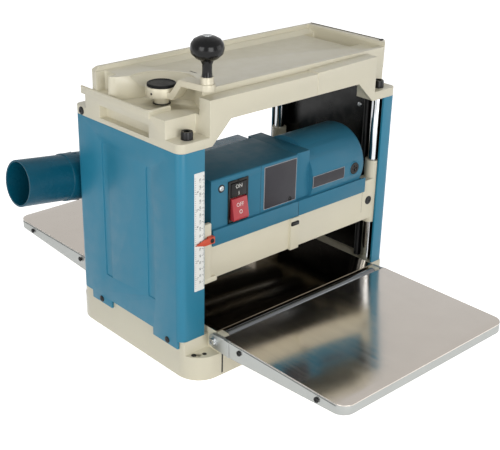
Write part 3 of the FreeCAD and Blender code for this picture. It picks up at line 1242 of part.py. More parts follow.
def switch():
    """The switch body in the cover's opening, its ON button and its OFF paddle."""
    face = -SWITCH_FACE
    half = S.switch_width / 2
    low, high = S.switch_low, S.switch_high
    skin, bezel = S.switch_shell, S.switch_bezel
    body = box(spread_at(S.switch_x, half), (face, face + S.switch_depth), (low, high))
    rim = box(spread_at(S.switch_x, half + bezel), (face - skin, face), (low - bezel, high + bezel))
    seat = face + skin
    floor = seat + S.button_travel * 2
    cavity = box(spread_at(S.switch_x, half - skin), (face - skin - 1, floor), (low + skin, high - skin))
    keep("switch_body", cut(fuse(body, rim), cavity))

    x = spread_at(S.switch_x, half - skin - 2 * S.free_gap)
    split = (low + high) / 2 + skin * 3
    top = high - skin - 2 * S.free_gap
    front = face - skin * 1.5
    keep("on_button", box(x, (front, seat), (split + skin, top)))
    foot = low + skin + 2 * S.free_gap
    toe = face - S.paddle_reach
    paddle = [(toe, foot + skin * 2), (toe + skin, foot), (seat, foot), (seat, split), (front - skin, split)]
    pivot = rod("X", (seat, split), x, skin - S.free_gap)
    keep("off_paddle", fuse(prism("YZ", paddle, x), pivot))


# ---- dust hood ------------------------------------------------------------------------------------------

def dust_hood():
    x = spread(HOOD_HALF)
    near = PANEL_FRONT
    back = HOOD_BACK
    low = S.panel_top - 3 * S.panel_wall
    crown = S.nozzle_z - 5
    wall = S.hood_wall
    profile = [(near, low), (back, low + wall * 2), (back, crown), (near + wall * 4, crown),
               (near, S.carriage_top)]
    shell = prism("YZ", profile, x, [((2, 3), wall * 2)])
    inner = [(near - 1, low + wall), (back - wall, low + wall * 3), (back - wall, crown - wall),
             (near + wall * 4, crown - wall), (near - 1, S.carriage_top - wall)]
    hollow = prism("YZ", inner, (x[0] + wall, x[1] - wall))
    outer_radius = S.nozzle_radius
    bore = outer_radius - S.nozzle_wall
    turn = Rotation(Vector(0, 1, 0), -90 + number(S.nozzle_tilt))
    reach = S.nozzle_length
    shoulder = reach - S.nozzle_free
    pipe_profile = [(0, -outer_radius), (S.nozzle_root, -outer_radius), (S.nozzle_root, shoulder)]
    pipe_profile += [(outer_radius, shoulder), (outer_radius, reach), (0, reach)]
    pipe = turned("Z", (0, 0), 0, pipe_profile)
    start = -S.nozzle_inlet
    passage = turned("Z", (0, 0), 0, [(0, start), (bore, start), (bore, reach + 1), (0, reach + 1)])
    for tube in (pipe, passage):
        place(tube, x[0], NOZZLE_Y, S.nozzle_z, turn)
    keep("dust_hood", cut(fuse(shell, pipe), hollow, passage))


# ---- the whole machine ------------------------------------------------------------------------------------

def build():
    base_casting()
    table_sheet()
    base_rollers()
    columns()
    leaf("front", -1)
    leaf("rear", 1)
    hinge_bolts()
    side_cover("left", -1, S.flange_left)
    side_cover("right", 1, S.flange_right)
    cover_screws()
    scale_plate()
    top_frame()
    top_tray()
    lift_screws()
    lift_nuts()
    crank()
    head_casting()
    depth_pointer()
    cutter_drum()
    feed_rollers()
    motor()
    drive_belt()
    switch_cover()
    switch()
    head_screws()
    dust_hood()


def export():
    doc.recompute()
    for item in doc.Objects:
        if "Invalid" in item.State or "Error" in item.State:
            raise RuntimeError(f"{item.Name} ({item.Label}) did not compute: {item.State}")
    os.makedirs("parts", exist_ok=True)
    for piece in pieces:
        shape = piece.Shape
        if shape.isNull() or not shape.isValid() or not shape.Solids:
            raise RuntimeError(f"{piece.Label} has no valid solid")
        shape.exportStep(f"parts/{piece.Label}.step")
        print(f"{piece.Label}: {len(shape.Solids)} solid(s), {shape.Volume / 1000:.1f} cm3")


build()
export()
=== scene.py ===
import json
import math
import bmesh
import bpy
import numpy as np
from mathutils import Matrix, Vector

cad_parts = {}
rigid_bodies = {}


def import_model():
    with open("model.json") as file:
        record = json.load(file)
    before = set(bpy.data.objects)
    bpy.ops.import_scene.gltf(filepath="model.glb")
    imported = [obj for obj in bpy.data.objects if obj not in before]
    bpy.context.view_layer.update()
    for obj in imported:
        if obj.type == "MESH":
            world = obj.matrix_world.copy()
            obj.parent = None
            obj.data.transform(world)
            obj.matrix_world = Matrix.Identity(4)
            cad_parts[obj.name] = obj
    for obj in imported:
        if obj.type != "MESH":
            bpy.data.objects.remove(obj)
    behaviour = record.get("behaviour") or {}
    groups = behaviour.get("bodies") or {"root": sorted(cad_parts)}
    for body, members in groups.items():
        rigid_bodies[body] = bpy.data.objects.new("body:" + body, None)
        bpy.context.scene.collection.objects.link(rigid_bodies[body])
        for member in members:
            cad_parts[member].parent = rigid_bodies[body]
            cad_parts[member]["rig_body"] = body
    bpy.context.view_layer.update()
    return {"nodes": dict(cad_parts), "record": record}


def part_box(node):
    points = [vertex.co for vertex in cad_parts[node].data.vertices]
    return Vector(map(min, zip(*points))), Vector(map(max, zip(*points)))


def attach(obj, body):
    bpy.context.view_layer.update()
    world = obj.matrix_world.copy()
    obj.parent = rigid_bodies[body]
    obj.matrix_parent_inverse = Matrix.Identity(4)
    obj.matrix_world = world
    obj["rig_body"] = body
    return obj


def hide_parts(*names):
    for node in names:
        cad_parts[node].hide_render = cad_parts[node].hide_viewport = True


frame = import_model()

# A portable thickness planer: cast top frame and base, moulded covers, steel tables.
# The frame gives every place and size in metres; the finishes and the small trim are made here.

scene = bpy.context.scene
nodes = frame["nodes"]
slotOf = {row["node"]: row["material_slot"] for row in frame["record"]["subparts"]}
bodyOf = {name: node["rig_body"] for name, node in nodes.items()}
mm = 0.001


# camera, lamps and surroundings

cameraSettings = {
    "place": (-0.9649, -1.0499, 0.7739),
    "azimuth": -41.0,      # degrees round the vertical, 0 looks along +Y
    "elevation": 24.22,
    "roll": 0.386,
    "lens": 71.459,
    "shiftX": 0.0745,
    "shiftY": 0.0053,
}

lightSettings = {
    "skyStrength": 0.16,     # on rough surfaces
    "skyInGloss": 0.75,      # in reflections
    "backdrop": 1.0,         # seen directly
    "floorShade": 0.86,
    "floorGlow": 0.84,       # what the floor adds where it is seen directly
    "floorSize": 14.0, "floorHeight": -0.0005,
    "lamps": {               # place, height of the point aimed at, size, power, seen in reflections
        "key": ((-0.9, -2.8, 0.8), 0.25, 1.6, 38.0, True),
        "left": ((-2.6, -0.6, 0.9), 0.25, 1.4, 25.0, True),
        "fill": ((2.2, -2.2, 0.8), 0.25, 2.0, 18.0, True),
        "back": ((1.3, 2.8, 0.5), 0.25, 2.0, 10.0, False),
        "top": ((0.0, 0.1, 2.6), 0.4, 1.6, 15.0, False),
    },
}


def addCamera(settings):
    # the view's back, right and up directions from its azimuth and elevation, then leaned by the roll
    azimuth, elevation, roll = (math.radians(settings[key]) for key in ("azimuth", "elevation", "roll"))
    level = math.cos(elevation)
    back = Vector((math.sin(azimuth) * level, -math.cos(azimuth) * level, math.sin(elevation)))
    right = Vector((0, 0, 1)).cross(back).normalized()
    up = back.cross(right)
    rolledRight = right * math.cos(roll) + up * math.sin(roll)
    rolledUp = up * math.cos(roll) - right * math.sin(roll)
    data = bpy.data.cameras.new("camera")
    data.lens = settings["lens"]
    data.sensor_width = 36
    data.shift_x = settings["shiftX"]
    data.shift_y = settings["shiftY"]
    data.clip_start = 0.05
    camera = bpy.data.objects.new("camera", data)
    turn = Matrix((rolledRight, rolledUp, back)).transposed().to_4x4()
    camera.matrix_world = Matrix.Translation(settings["place"]) @ turn
    scene.collection.objects.link(camera)
    scene.camera = camera


def addLamp(name, place, aimHeight, size, power, inGloss):
    data = bpy.data.lights.new(name, "AREA")
    data.shape = "SQUARE"
    data.size = size
    data.energy = power
    lamp = bpy.data.objects.new(name, data)
    lamp.location = place
    lamp.rotation_euler = (Vector((0, 0, aimHeight)) - Vector(place)).to_track_quat("-Z", "Y").to_euler()
    lamp.visible_glossy = inGloss
    scene.collection.objects.link(lamp)


# short ways to make shader nodes

def rgb(hexCode):
    # an sRGB hex code as the linear colour that the shaders take
    channels = [int(hexCode[i:i + 2], 16) / 255 for i in (0, 2, 4)]
    return tuple(c / 12.92 if c <= 0.04045 else ((c + 0.055) / 1.055) ** 2.4 for c in channels) + (1.0,)


def feed(tree, node, inputs):
    # a socket takes either a link from another socket or a plain value
    for label, source in inputs.items():
        if isinstance(source, bpy.types.NodeSocket):
            tree.links.new(source, node.inputs[label])
        else:
            node.inputs[label].default_value = source


def addNode(tree, kind, inputs=None, **values):
    node = tree.nodes.new(kind)
    for name, value in values.items():
        setattr(node, name, value)
    feed(tree, node, inputs or {})
    return node


def newGroup(name, inputs, outputs):
    # an input's kind follows from its value: a number, a vector of three or a colour of four
    tree = bpy.data.node_groups.new(name, "ShaderNodeTree")
    kinds = {3: "NodeSocketVector", 4: "NodeSocketColor"}
    for label, value in inputs.items():
        kind = kinds[len(value)] if isinstance(value, tuple) else "NodeSocketFloat"
        tree.interface.new_socket(name=label, in_out="INPUT", socket_type=kind).default_value = value
    for label in outputs:
        kind = "NodeSocketColor" if label == "Color" else "NodeSocketFloat"
        tree.interface.new_socket(name=label, in_out="OUTPUT", socket_type=kind)
    return tree, addNode(tree, "NodeGroupInput").outputs, addNode(tree, "NodeGroupOutput")


def mathNode(tree, operation, a, b=0.0, clamp=False):
    return addNode(tree, "ShaderNodeMath", {0: a, 1: b}, operation=operation, use_clamp=clamp).outputs[0]


def times(tree, a, b, clamp=False):
    return mathNode(tree, "MULTIPLY", a, b, clamp)


def objectPlace(tree):
    return addNode(tree, "ShaderNodeTexCoord").outputs["Object"]


def noiseNode(tree, scale, detail=3.0, roughness=0.5, vector=None):
    inputs = {"Vector": vector or objectPlace(tree), "Scale": scale, "Detail": detail, "Roughness": roughness}
    return addNode(tree, "ShaderNodeTexNoise", inputs).outputs["Fac"]


def rampNode(tree, value, low, high, lowTo=0.0, highTo=1.0):
    inputs = {"Value": value, "From Min": low, "From Max": high, "To Min": lowTo, "To Max": highTo}
    return addNode(tree, "ShaderNodeMapRange", inputs, interpolation_type="SMOOTHSTEP").outputs["Result"]


def mixColour(tree, factor, first, second):
    inputs = {"Factor": factor, "A": first, "B": second}
    return addNode(tree, "ShaderNodeMix", inputs, data_type="RGBA").outputs["Result"]


def mixShader(tree, factor, first, second):
    return addNode(tree, "ShaderNodeMixShader", {0: factor, 1: first, 2: second}).outputs["Shader"]


# effects that several finishes share

def makeEdgeWearGroup():
    # mask: how far the rounded normal leaves the true one, broken up by noise
    usual = {"Radius": 0.0015, "Amount": 0.5, "Patchiness": 40.0}
    tree, given, result = newGroup("edgeWear", usual, ["Mask"])
    bevel = addNode(tree, "ShaderNodeBevel", {"Radius": given["Radius"]}, samples=4)
    normals = {0: bevel.outputs["Normal"], 1: addNode(tree, "ShaderNodeNewGeometry").outputs["True Normal"]}
    dot = addNode(tree, "ShaderNodeVectorMath", normals, operation="DOT_PRODUCT")
    bend = mathNode(tree, "SUBTRACT", 1.0, dot.outputs["Value"], clamp=True)
    patches = noiseNode(tree, given["Patchiness"], 5.0, 0.6)
    worn = times(tree, rampNode(tree, bend, 0.015, 0.16), rampNode(tree, patches, 0.42, 0.62))
    feed(tree, result, {"Mask": times(tree, worn, given["Amount"], clamp=True)})
    return tree


def makeMottleGroup():
    # the colour made a little lighter and darker in broad and fine patches
    usual = {"Color": (0.5, 0.5, 0.5, 1), "Amount": 0.08, "Scale": 12.0}
    tree, given, result = newGroup("mottle", usual, ["Color"])
    broad = times(tree, noiseNode(tree, given["Scale"], 2.0), 0.75)
    fine = times(tree, noiseNode(tree, 420.0, 2.0), 0.25)
    swing = times(tree, mathNode(tree, "SUBTRACT", mathNode(tree, "ADD", broad, fine), 0.5), given["Amount"])
    value = mathNode(tree, "ADD", 1.0, times(tree, swing, 2.0))
    tone = addNode(tree, "ShaderNodeHueSaturation", {"Color": given["Color"], "Value": value})
    feed(tree, result, {"Color": tone.outputs["Color"]})
    return tree


def makeGrainGroup():
    # height of a cast or moulded skin: fine cells on a slow swell
    tree, given, result = newGroup("grain", {"Scale": 900.0, "Swell": 0.3}, ["Height"])
    inputs = {"Vector": objectPlace(tree), "Scale": given["Scale"]}
    cells = addNode(tree, "ShaderNodeTexVoronoi", inputs, feature="SMOOTH_F1")
    swell = times(tree, noiseNode(tree, 60.0, 2.0), given["Swell"])
    feed(tree, result, {"Height": mathNode(tree, "ADD", cells.outputs["Distance"], swell)})
    return tree


def makeBrushedGroup():
    # long fine lines along one axis: noise squeezed across the grain
    tree, given, result = newGroup("brushedLines", {"Across": (900.0, 6.0, 900.0)}, ["Height", "Roughness"])
    inputs = {0: objectPlace(tree), 1: given["Across"]}
    stretch = addNode(tree, "ShaderNodeVectorMath", inputs, operation="MULTIPLY")
    lines = noiseNode(tree, 1.0, 3.0, 0.65, stretch.outputs["Vector"])
    halves = [times(tree, part, 0.5) for part in (lines, noiseNode(tree, 9.0, 3.0))]
    feed(tree, result, {"Height": lines, "Roughness": mathNode(tree, "ADD", *halves)})
    return tree


def makeDustGroup():
    # fine dust that lies on what faces up
    tree, given, result = newGroup("settledDust", {"Amount": 0.2, "Scale": 30.0}, ["Mask"])
    normal = addNode(tree, "ShaderNodeNewGeometry").outputs["Normal"]
    upward = rampNode(tree, addNode(tree, "ShaderNodeSeparateXYZ", {0: normal}).outputs["Z"], 0.35, 0.95)
    layer = times(tree, upward, rampNode(tree, noiseNode(tree, given["Scale"], 6.0, 0.65), 0.3, 0.75))
    feed(tree, result, {"Mask": times(tree, layer, given["Amount"], clamp=True)})
    return tree


effects = {
    "edgeWear": makeEdgeWearGroup(),
    "mottle": makeMottleGroup(),
    "grain": makeGrainGroup(),
    "brushedLines": makeBrushedGroup(),
    "settledDust": makeDustGroup(),
}


def placeEffect(tree, name, **inputs):
    return addNode(tree, "ShaderNodeGroup", inputs, node_tree=effects[name]).outputs


def startMaterial(name):
    material = bpy.data.materials.new(name)
    material.use_nodes = True
    tree = material.node_tree
    tree.nodes.clear()
    shader = addNode(tree, "ShaderNodeBsdfPrincipled")
    output = addNode(tree, "ShaderNodeOutputMaterial", {"Surface": shader.outputs["BSDF"]})
    return material, tree, shader, output


def bumpNormal(tree, height, look):
    inputs = {"Strength": look["bump"], "Distance": look["bumpHeight"], "Height": height}
    return addNode(tree, "ShaderNodeBump", inputs).outputs["Normal"]


def spreadRoughness(tree, shade, low, high, roughness, spread):
    return rampNode(tree, shade, low, high, roughness - spread, roughness + spread)


# the finishes: what a look leaves out is taken from these values

skinUsual = {
    "mottle": 0.06, "patch": 14.0, "edge": 0.0012, "wear": 0.25, "dust": 0.1, "dustColour": "D9D4C6",
    "spread": 0.06, "grain": 900.0, "swell": 0.3, "bump": 0.25, "bumpHeight": 0.0002,
    "specular": 0.5, "coat": 0.0, "coatRoughness": 0.15,
}

metalUsual = {
    "metallic": 1.0, "mottle": 0.05, "patch": 25.0, "edge": 0.0008, "wear": 0.3, "edgeColour": "E8E8E6",
    "across": (60.0, 60.0, 60.0), "spread": 0.04, "bump": 0.1, "bumpHeight": 0.00005,
}


def skinFinish(name, colour, wornColour, roughness, own):
    # painted casting or moulded plastic: mottled colour, paler worn edges, dust, cast grain
    look = {**skinUsual, **own}
    material, tree, shader, _ = startMaterial(name)
    base = placeEffect(tree, "mottle", Color=rgb(colour), Amount=look["mottle"], Scale=look["patch"])
    wear = placeEffect(tree, "edgeWear", Radius=look["edge"], Amount=look["wear"])
    dust = placeEffect(tree, "settledDust", Amount=look["dust"])
    worn = mixColour(tree, wear["Mask"], base["Color"], rgb(wornColour))
    rough = spreadRoughness(tree, noiseNode(tree, 55.0, 4.0), 0.3, 0.7, roughness, look["spread"])
    grain = placeEffect(tree, "grain", Scale=look["grain"], Swell=look["swell"])
    feed(tree, shader, {
        "Base Color": mixColour(tree, dust["Mask"], worn, rgb(look["dustColour"])),
        "Roughness": mathNode(tree, "ADD", rough, times(tree, dust["Mask"], 0.5), clamp=True),
        "Normal": bumpNormal(tree, grain["Height"], look),
        "Specular IOR Level": look["specular"],
        "Coat Weight": look["coat"],
        "Coat Roughness": look["coatRoughness"],
    })
    return material


def coverFinish(name, look, innerShade):
    # the moulded cover, black where |x|, |y| and their sum are small enough to be an inner face: painted
    # shade on the inner faces
    material = skinFinish(name, *look)
    tree = material.node_tree
    shader = next(node for node in tree.nodes if node.type == "BSDF_PRINCIPLED")
    outer = shader.inputs["Base Color"].links[0].from_socket
    split = addNode(tree, "ShaderNodeSeparateXYZ", {0: objectPlace(tree)}).outputs
    away = [mathNode(tree, "ABSOLUTE", split[axis]) for axis in ("X", "Y")]
    inside = mathNode(tree, "LESS_THAN", mathNode(tree, "ADD", *away), innerShade["corner"])
    for distance, axis in zip(away, ("X", "Y")):
        inside = times(tree, inside, mathNode(tree, "LESS_THAN", distance, innerShade[axis]))
    # painted shade: the inner faces take the black colour
    feed(tree, shader, {"Base Color": mixColour(tree, inside, outer, rgb(innerShade["colour"]))})
    return material


def metalFinish(name, colour, roughness, own):
    # bare or plated metal: brushed lines, tarnish in patches, brighter edges
    look = {**metalUsual, **own}
    material, tree, shader, _ = startMaterial(name)
    base = placeEffect(tree, "mottle", Color=rgb(colour), Amount=look["mottle"], Scale=look["patch"])
    wear = placeEffect(tree, "edgeWear", Radius=look["edge"], Amount=look["wear"])
    brushed = placeEffect(tree, "brushedLines", Across=look["across"])
    feed(tree, shader, {
        "Metallic": look["metallic"],
        "Base Color": mixColour(tree, wear["Mask"], base["Color"], rgb(look["edgeColour"])),
        "Roughness": spreadRoughness(tree, brushed["Roughness"], 0.35, 0.65, roughness, look["spread"]),
        "Normal": bumpNormal(tree, brushed["Height"], look),
    })
    return material


skinLooks = {      # colour, colour where worn, roughness, and what is its own
    "cast_paint": ("D2CCB6", "EFEBDC", 0.34, {"grain": 620.0, "bump": 0.16, "coat": 0.22, "dust": 0.01,
                   "wear": 0.2}),
    "cover_plastic": ("257B98", "5A9DB4", 0.4, {"grain": 1100.0, "bump": 0.18, "dust": 0.01,
                      "specular": 0.4}),
    "duct_plastic": ("074E63", "2A6F84", 0.26, {"grain": 1000.0, "bump": 0.1, "dust": 0.004,
                     "specular": 0.2}),
    "motor_plastic": ("30718B", "4F8EA6", 0.4, {"grain": 1100.0, "bump": 0.12, "dust": 0.005,
                      "specular": 0.22}),
    "inner_panel": ("0B0B09", "2A2A26", 0.22, {"grain": 300.0, "bump": 0.08, "specular": 0.35, "dust": 0.01}),
    "black_plastic": ("060607", "1E1E1F", 0.16, {"spread": 0.03, "grain": 1200.0, "bump": 0.04,
                      "specular": 0.28, "dust": 0.004}),
    "red_plastic": ("AE343B", "CF6A6E", 0.34, {"grain": 1400.0, "bump": 0.08, "dust": 0.02}),
    "pointer_plastic": ("C8482B", "E07A5C", 0.38, {"grain": 1400.0, "bump": 0.08, "dust": 0.02}),
    "scale_paint": ("E9EAE6", "F5F5F2", 0.35, {"grain": 1500.0, "bump": 0.04, "dust": 0.02}),
    "roller_rubber": ("2A2A29", "444440", 0.7, {"grain": 1500.0, "bump": 0.4, "dust": 0.25}),
}

metalLooks = {      # colour, roughness, and what is its own
    "sheet_steel": ("D3CBC2", 0.17, {"spread": 0.04, "across": (420.0, 5.0, 420.0), "bump": 0.05,
                    "wear": 0.1}),
    # the bed's steel: a darkened colour as a painted dark reflection
    "bed_steel_painted_reflection": ("857A6A", 0.12, {"spread": 0.03, "across": (420.0, 5.0, 420.0), "bump": 0.05, "wear": 0.1}),
    "roller_steel": ("77797B", 0.2, {"across": (8.0, 500.0, 500.0)}),
    "rail_alloy": ("A9ABA8", 0.42, {"across": (40.0, 300.0, 300.0), "metallic": 0.85, "bump": 0.15}),
    "zinc_steel": ("B9BCBD", 0.3, {"across": (200.0, 200.0, 30.0)}),
    "column_chrome": ("C9CCCE", 0.1, {"spread": 0.03, "across": (30.0, 30.0, 900.0), "bump": 0.04}),
    "black_steel": ("101011", 0.34, {"metallic": 0.4, "edgeColour": "4A4A48", "wear": 0.35}),
    "nut_brass": ("B08D4B", 0.32, {}),
    "crank_alloy": ("CFC8B2", 0.4, {"metallic": 0.25, "edgeColour": "E9E4D4"}),
    "drum_steel": ("8C9094", 0.25, {"across": (10.0, 300.0, 300.0)}),
    "knife_steel": ("D6D8DA", 0.14, {"across": (8.0, 600.0, 600.0)}),
    "stator_iron": ("5C5E60", 0.5, {"across": (700.0, 6.0, 6.0)}),
}

# metres from the planer's middle; the black is painted shade on the covers' inner faces
coverInnerShade = {"X": 0.2106, "Y": 0.1178, "corner": 0.3235, "colour": "0C0C0B"}

finishes = {name: skinFinish(name, *look) for name, look in skinLooks.items() if name != "cover_plastic"}
finishes["cover_plastic"] = coverFinish("cover_plastic", skinLooks["cover_plastic"], coverInnerShade)
finishes.update({name: metalFinish(name, *look) for name, look in metalLooks.items()})
print("finishes:", len(finishes))

# the bed between the rollers is darker than its slot's usual steel as a painted dark reflection of the shaded
# head above it; the rollers themselves are darker than their slot's usual steel
paintedBedReflectionAndDarkRollers = {"table_sheet": "bed_steel_painted_reflection", "front_base_roller": "roller_steel",
               "rear_base_roller": "roller_steel"}


def paint(thing, material):
    thing.data.materials.clear()
    thing.data.materials.append(material)


def finishOf(name):
    return finishes[paintedBedReflectionAndDarkRollers.get(name, slotOf[name])]


for name, node in nodes.items():
    paint(node, finishOf(name))
print("frame nodes painted:", len(nodes))


# rounded copies of the frame's pieces

def addPiece(name, mesh, node, material):
    piece = bpy.data.objects.new(name, mesh)
    scene.collection.objects.link(piece)
    paint(piece, material)
    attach(piece, bodyOf[node])
    return piece


smoothAngle = 34      # degrees, edges sharper than this stay crisp


def smoothed(mesh, angle=smoothAngle):
    mesh.polygons.foreach_set("use_smooth", np.ones(len(mesh.polygons), dtype=bool))
    mesh.set_sharp_from_angle(angle=math.radians(angle))
    return mesh


def evaluatedMesh(thing):
    return bpy.data.meshes.new_from_object(thing.evaluated_get(bpy.context.evaluated_depsgraph_get()))


copySettings = {
    "near": 2e-6, "sliver": 1e-6,      # metres, points this near are one and edges this short go
    "flat": math.radians(0.6), "skew": math.radians(60), "sharp": math.radians(32), "segments": 3,
    "framed": ("head_casting", "switch_body", "switch_cover"),    # their flat faces go right round an opening
}


def roundedCopy(node, width, settings):
    # the node's own surface, its loose triangles merged, with a small fillet along each sharp edge
    work = bmesh.new()
    work.from_mesh(nodes[node].data)
    bmesh.ops.remove_doubles(work, verts=work.verts, dist=settings["near"])
    bmesh.ops.dissolve_degenerate(work, edges=work.edges, dist=settings["sliver"])
    if node in settings["framed"]:
        bmesh.ops.join_triangles(work, faces=work.faces, angle_face_threshold=settings["flat"],
                                 angle_shape_threshold=settings["skew"])
    else:
        bmesh.ops.dissolve_limit(work, angle_limit=settings["flat"], verts=work.verts, edges=work.edges,
                                 delimit=set())
    mesh = bpy.data.meshes.new(node + "_rounded")
    work.to_mesh(mesh)
    work.free()
    for name in ("custom_normal", "sharp_edge", "sharp_face"):
        if name in mesh.attributes:
            mesh.attributes.remove(mesh.attributes[name])
    piece = addPiece(node + "_rounded", mesh, node, finishOf(node))
    if width > 0:
        bevel = piece.modifiers.new("softEdges", "BEVEL")
        bevel.width = width * mm
        bevel.segments = settings["segments"]
        bevel.limit_method = "ANGLE"
        bevel.angle_limit = settings["sharp"]
        bevel.use_clamp_overlap = True
        bevel.harden_normals = False
        bevel.miter_outer = "MITER_ARC"
        finished = evaluatedMesh(piece)
        piece.modifiers.clear()
        piece.data = finished
    smoothed(piece.data)
    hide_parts(node)


roundings = {      # mm, the width of the fillet
    "base_casting": 1.2, "top_frame": 2.2, "top_tray": 1.6, "left_side_cover": 0.8, "right_side_cover": 0.8,
    "head_casting": 0.8, "switch_cover": 1.2, "motor_housing": 0.8, "dust_hood": 0.6,
    "front_table_frame": 0.8, "rear_table_frame": 0.8, "front_table_sheet": 0.3, "rear_table_sheet": 0.3,
    "table_sheet": 0.3, "crank_arm": 0.8, "crank_knob": 0.0, "knob_pin": 0.2, "depth_pointer": 0.6,
    "switch_body": 0.4, "on_button": 0.5, "off_paddle": 0.5, "front_left_column": 0.4,
    "front_right_column": 0.4, "rear_left_column": 0.4, "rear_right_column": 0.4, "front_base_roller": 0.4,
    "rear_base_roller": 0.4, "left_lift_screw": 0.2, "right_lift_screw": 0.2, "infeed_roller": 0.4,
    "outfeed_roller": 0.4, "cutter_drum": 0.3,
}
for name, width in roundings.items():
    roundedCopy(name, width, copySettings)
print("rounded copies:", len(roundings))


# surfaces worked out with numpy, in mm, and set on one side of the planer

sides = {
    "front": ((1, 0, 0), (0, 0, 1), (0, -1, 0)),
    "back": ((-1, 0, 0), (0, 0, 1), (0, 1, 0)),
    "left": ((0, -1, 0), (0, 0, 1), (-1, 0, 0)),
    "right": ((0, 1, 0), (0, 0, 1), (1, 0, 0)),
    "top": ((1, 0, 0), (0, 1, 0), (0, 0, 1)),
}


def placed(points, side, at):
    # local x and y run along the side, z comes out of it; the result is in metres
    return (np.array(at, dtype=float) + points @ np.array(sides[side], dtype=float)) * mm


def closedShell(rows):
    # rings of points one above the other: a band of quads between two rings, and a face on each end ring
    count, around = rows.shape[:2]
    row, column = np.meshgrid(np.arange(count - 1), np.arange(around), indexing="ij")
    following = (column + 1) % around
    quads = np.stack([row * around + column, row * around + following,
                      (row + 1) * around + following, (row + 1) * around + column], axis=-1)
    ends = [list(range(around))[::-1], list(range((count - 1) * around, count * around))]
    return rows.reshape(-1, 3), quads.reshape(-1, 4).tolist() + ends


def turnsOf(around):
    return np.arange(around) * 2 * math.pi / around


def outlineReach(shape, angle):
    # how far the outline lies from the axis for a size of 1: round, six-sided, or a cross of two bars
    if shape == "hexagon":
        return np.cos(math.pi / 6) / np.cos(np.mod(angle, math.pi / 3) - math.pi / 6)
    if shape == "cross":
        cosine = np.maximum(np.abs(np.cos(angle)), 1e-6)
        sine = np.maximum(np.abs(np.sin(angle)), 1e-6)
        return np.minimum(1 / np.maximum(cosine, sine), 0.26 / np.minimum(cosine, sine))
    return np.ones_like(angle)


def turnedShell(profile, side, at, around=48):
    # each (radius, height, outline) of the profile becomes a ring: radius times the outline's reach
    angle = turnsOf(around)
    rows = []
    for radius, height, *shape in profile:
        reach = radius * outlineReach(shape[0] if shape else "round", angle)
        level = np.full(around, float(height))
        rows.append(np.stack([reach * np.cos(angle), reach * np.sin(angle), level], axis=-1))
    return closedShell(placed(np.stack(rows), side, at))


def plateShell(width, height, corner, levels, side, at, perCorner=6):
    # a rectangle with round corners, pulled in by each level's inset and lifted to its height
    angle = (np.arange(4)[:, None] * math.pi / 2 + np.linspace(0, math.pi / 2, perCorner)).ravel()
    across = np.repeat([1, -1, -1, 1], perCorner)
    along = np.repeat([1, 1, -1, -1], perCorner)
    rows = []
    for inset, level in levels:
        radius = max(corner - inset, 0.05)
        x = across * (width / 2 - inset - radius) + radius * np.cos(angle)
        y = along * (height / 2 - inset - radius) + radius * np.sin(angle)
        rows.append(np.stack([x, y, np.full(len(angle), float(level))], axis=-1))
    return closedShell(placed(np.stack(rows), side, at))


# the corners of a unit block and its faces, turned outwards
blockCorners = np.array([(-1, -1, 0), (1, -1, 0), (1, 1, 0), (-1, 1, 0),
                         (-1, -1, 1), (1, -1, 1), (1, 1, 1), (-1, 1, 1)])
blockFaces = np.array([(3, 2, 1, 0), (4, 5, 6, 7), (0, 1, 5, 4), (1, 2, 6, 5), (2, 3, 7, 6), (3, 0, 4, 7)])


def facesOfBlocks(count):
    faces = blockFaces + np.arange(count)[:, None, None] * len(blockCorners)
    return faces.reshape(-1, 4).tolist()


def barShell(bars, side, at):
    # a flat bar for each (x, y, width, height, rise): half sizes times the corners of a unit block
    table = np.array(bars, dtype=float)
    half = table[:, 2:5] * (0.5, 0.5, 1.0)
    middle = np.column_stack([table[:, :2], np.zeros(len(table))])
    corners = middle[:, None, :] + blockCorners * half[:, None, :]
    return placed(corners.reshape(-1, 3), side, at), facesOfBlocks(len(table))


def readAll(items, key, width):
    values = np.empty(len(items) * width)
    items.foreach_get(key, values)
    return values.reshape(-1, width)


def letterShell(text, size, side, at, rise=0.12, turn=0.0):
    # lettering as a thin raised solid, centred on its place
    curve = bpy.data.curves.new("lettering", "FONT")
    curve.body = text
    curve.size = size
    curve.align_x = curve.align_y = "CENTER"
    curve.extrude = rise / 2
    curve.resolution_u = 2
    holder = bpy.data.objects.new("lettering", curve)
    scene.collection.objects.link(holder)
    mesh = evaluatedMesh(holder)
    bpy.data.objects.remove(holder)
    work = bmesh.new()
    work.from_mesh(mesh)
    bmesh.ops.remove_doubles(work, verts=work.verts, dist=1e-5)
    bmesh.ops.recalc_face_normals(work, faces=work.faces)
    work.to_mesh(mesh)
    work.free()
    points = readAll(mesh.vertices, "co", 3)
    cosine, sine = math.cos(turn), math.sin(turn)
    turned = points @ np.array([(cosine, sine, 0.0), (-sine, cosine, 0.0), (0.0, 0.0, 1.0)])
    faces = [list(face.vertices) for face in mesh.polygons]
    bpy.data.meshes.remove(mesh)
    return placed(turned, side, at), faces


def meshOf(name, shells):
    # the shells one after another in a single mesh, each one's faces counted on from the last
    starts = np.cumsum([0] + [len(points) for points, _ in shells])
    faces = [[corner + int(start) for corner in face]
             for start, (_, shell) in zip(starts, shells) for face in shell]
    mesh = bpy.data.meshes.new(name)
    mesh.from_pydata(np.concatenate([points for points, _ in shells]).tolist(), [], faces)
    return mesh


def addTrim(name, shells, node, look, angle=smoothAngle, standsIn=False):
    # small parts on a node's body, in the named finish; some stand in for the node
    piece = addPiece(name, smoothed(meshOf(name, shells), angle), node, finishes[look])
    if standsIn:
        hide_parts(node)


def facePlane(node, side):
    # middle, in mm, and slope of the broad face of a node on one side: its facets there, weighed by area
    facets = nodes[node].data.polygons
    normals = readAll(facets, "normal", 3)
    facing = normals @ np.array(sides[side][2], dtype=float) > 0.9
    weights = readAll(facets, "area", 1) * facing[:, None]
    middle = (readAll(facets, "center", 3) * weights).sum(axis=0) / weights.sum()
    normal = (normals * weights).sum(axis=0)
    return middle / mm, normal / np.linalg.norm(normal)


# print, labels, seams and felt: finishes for the small trim

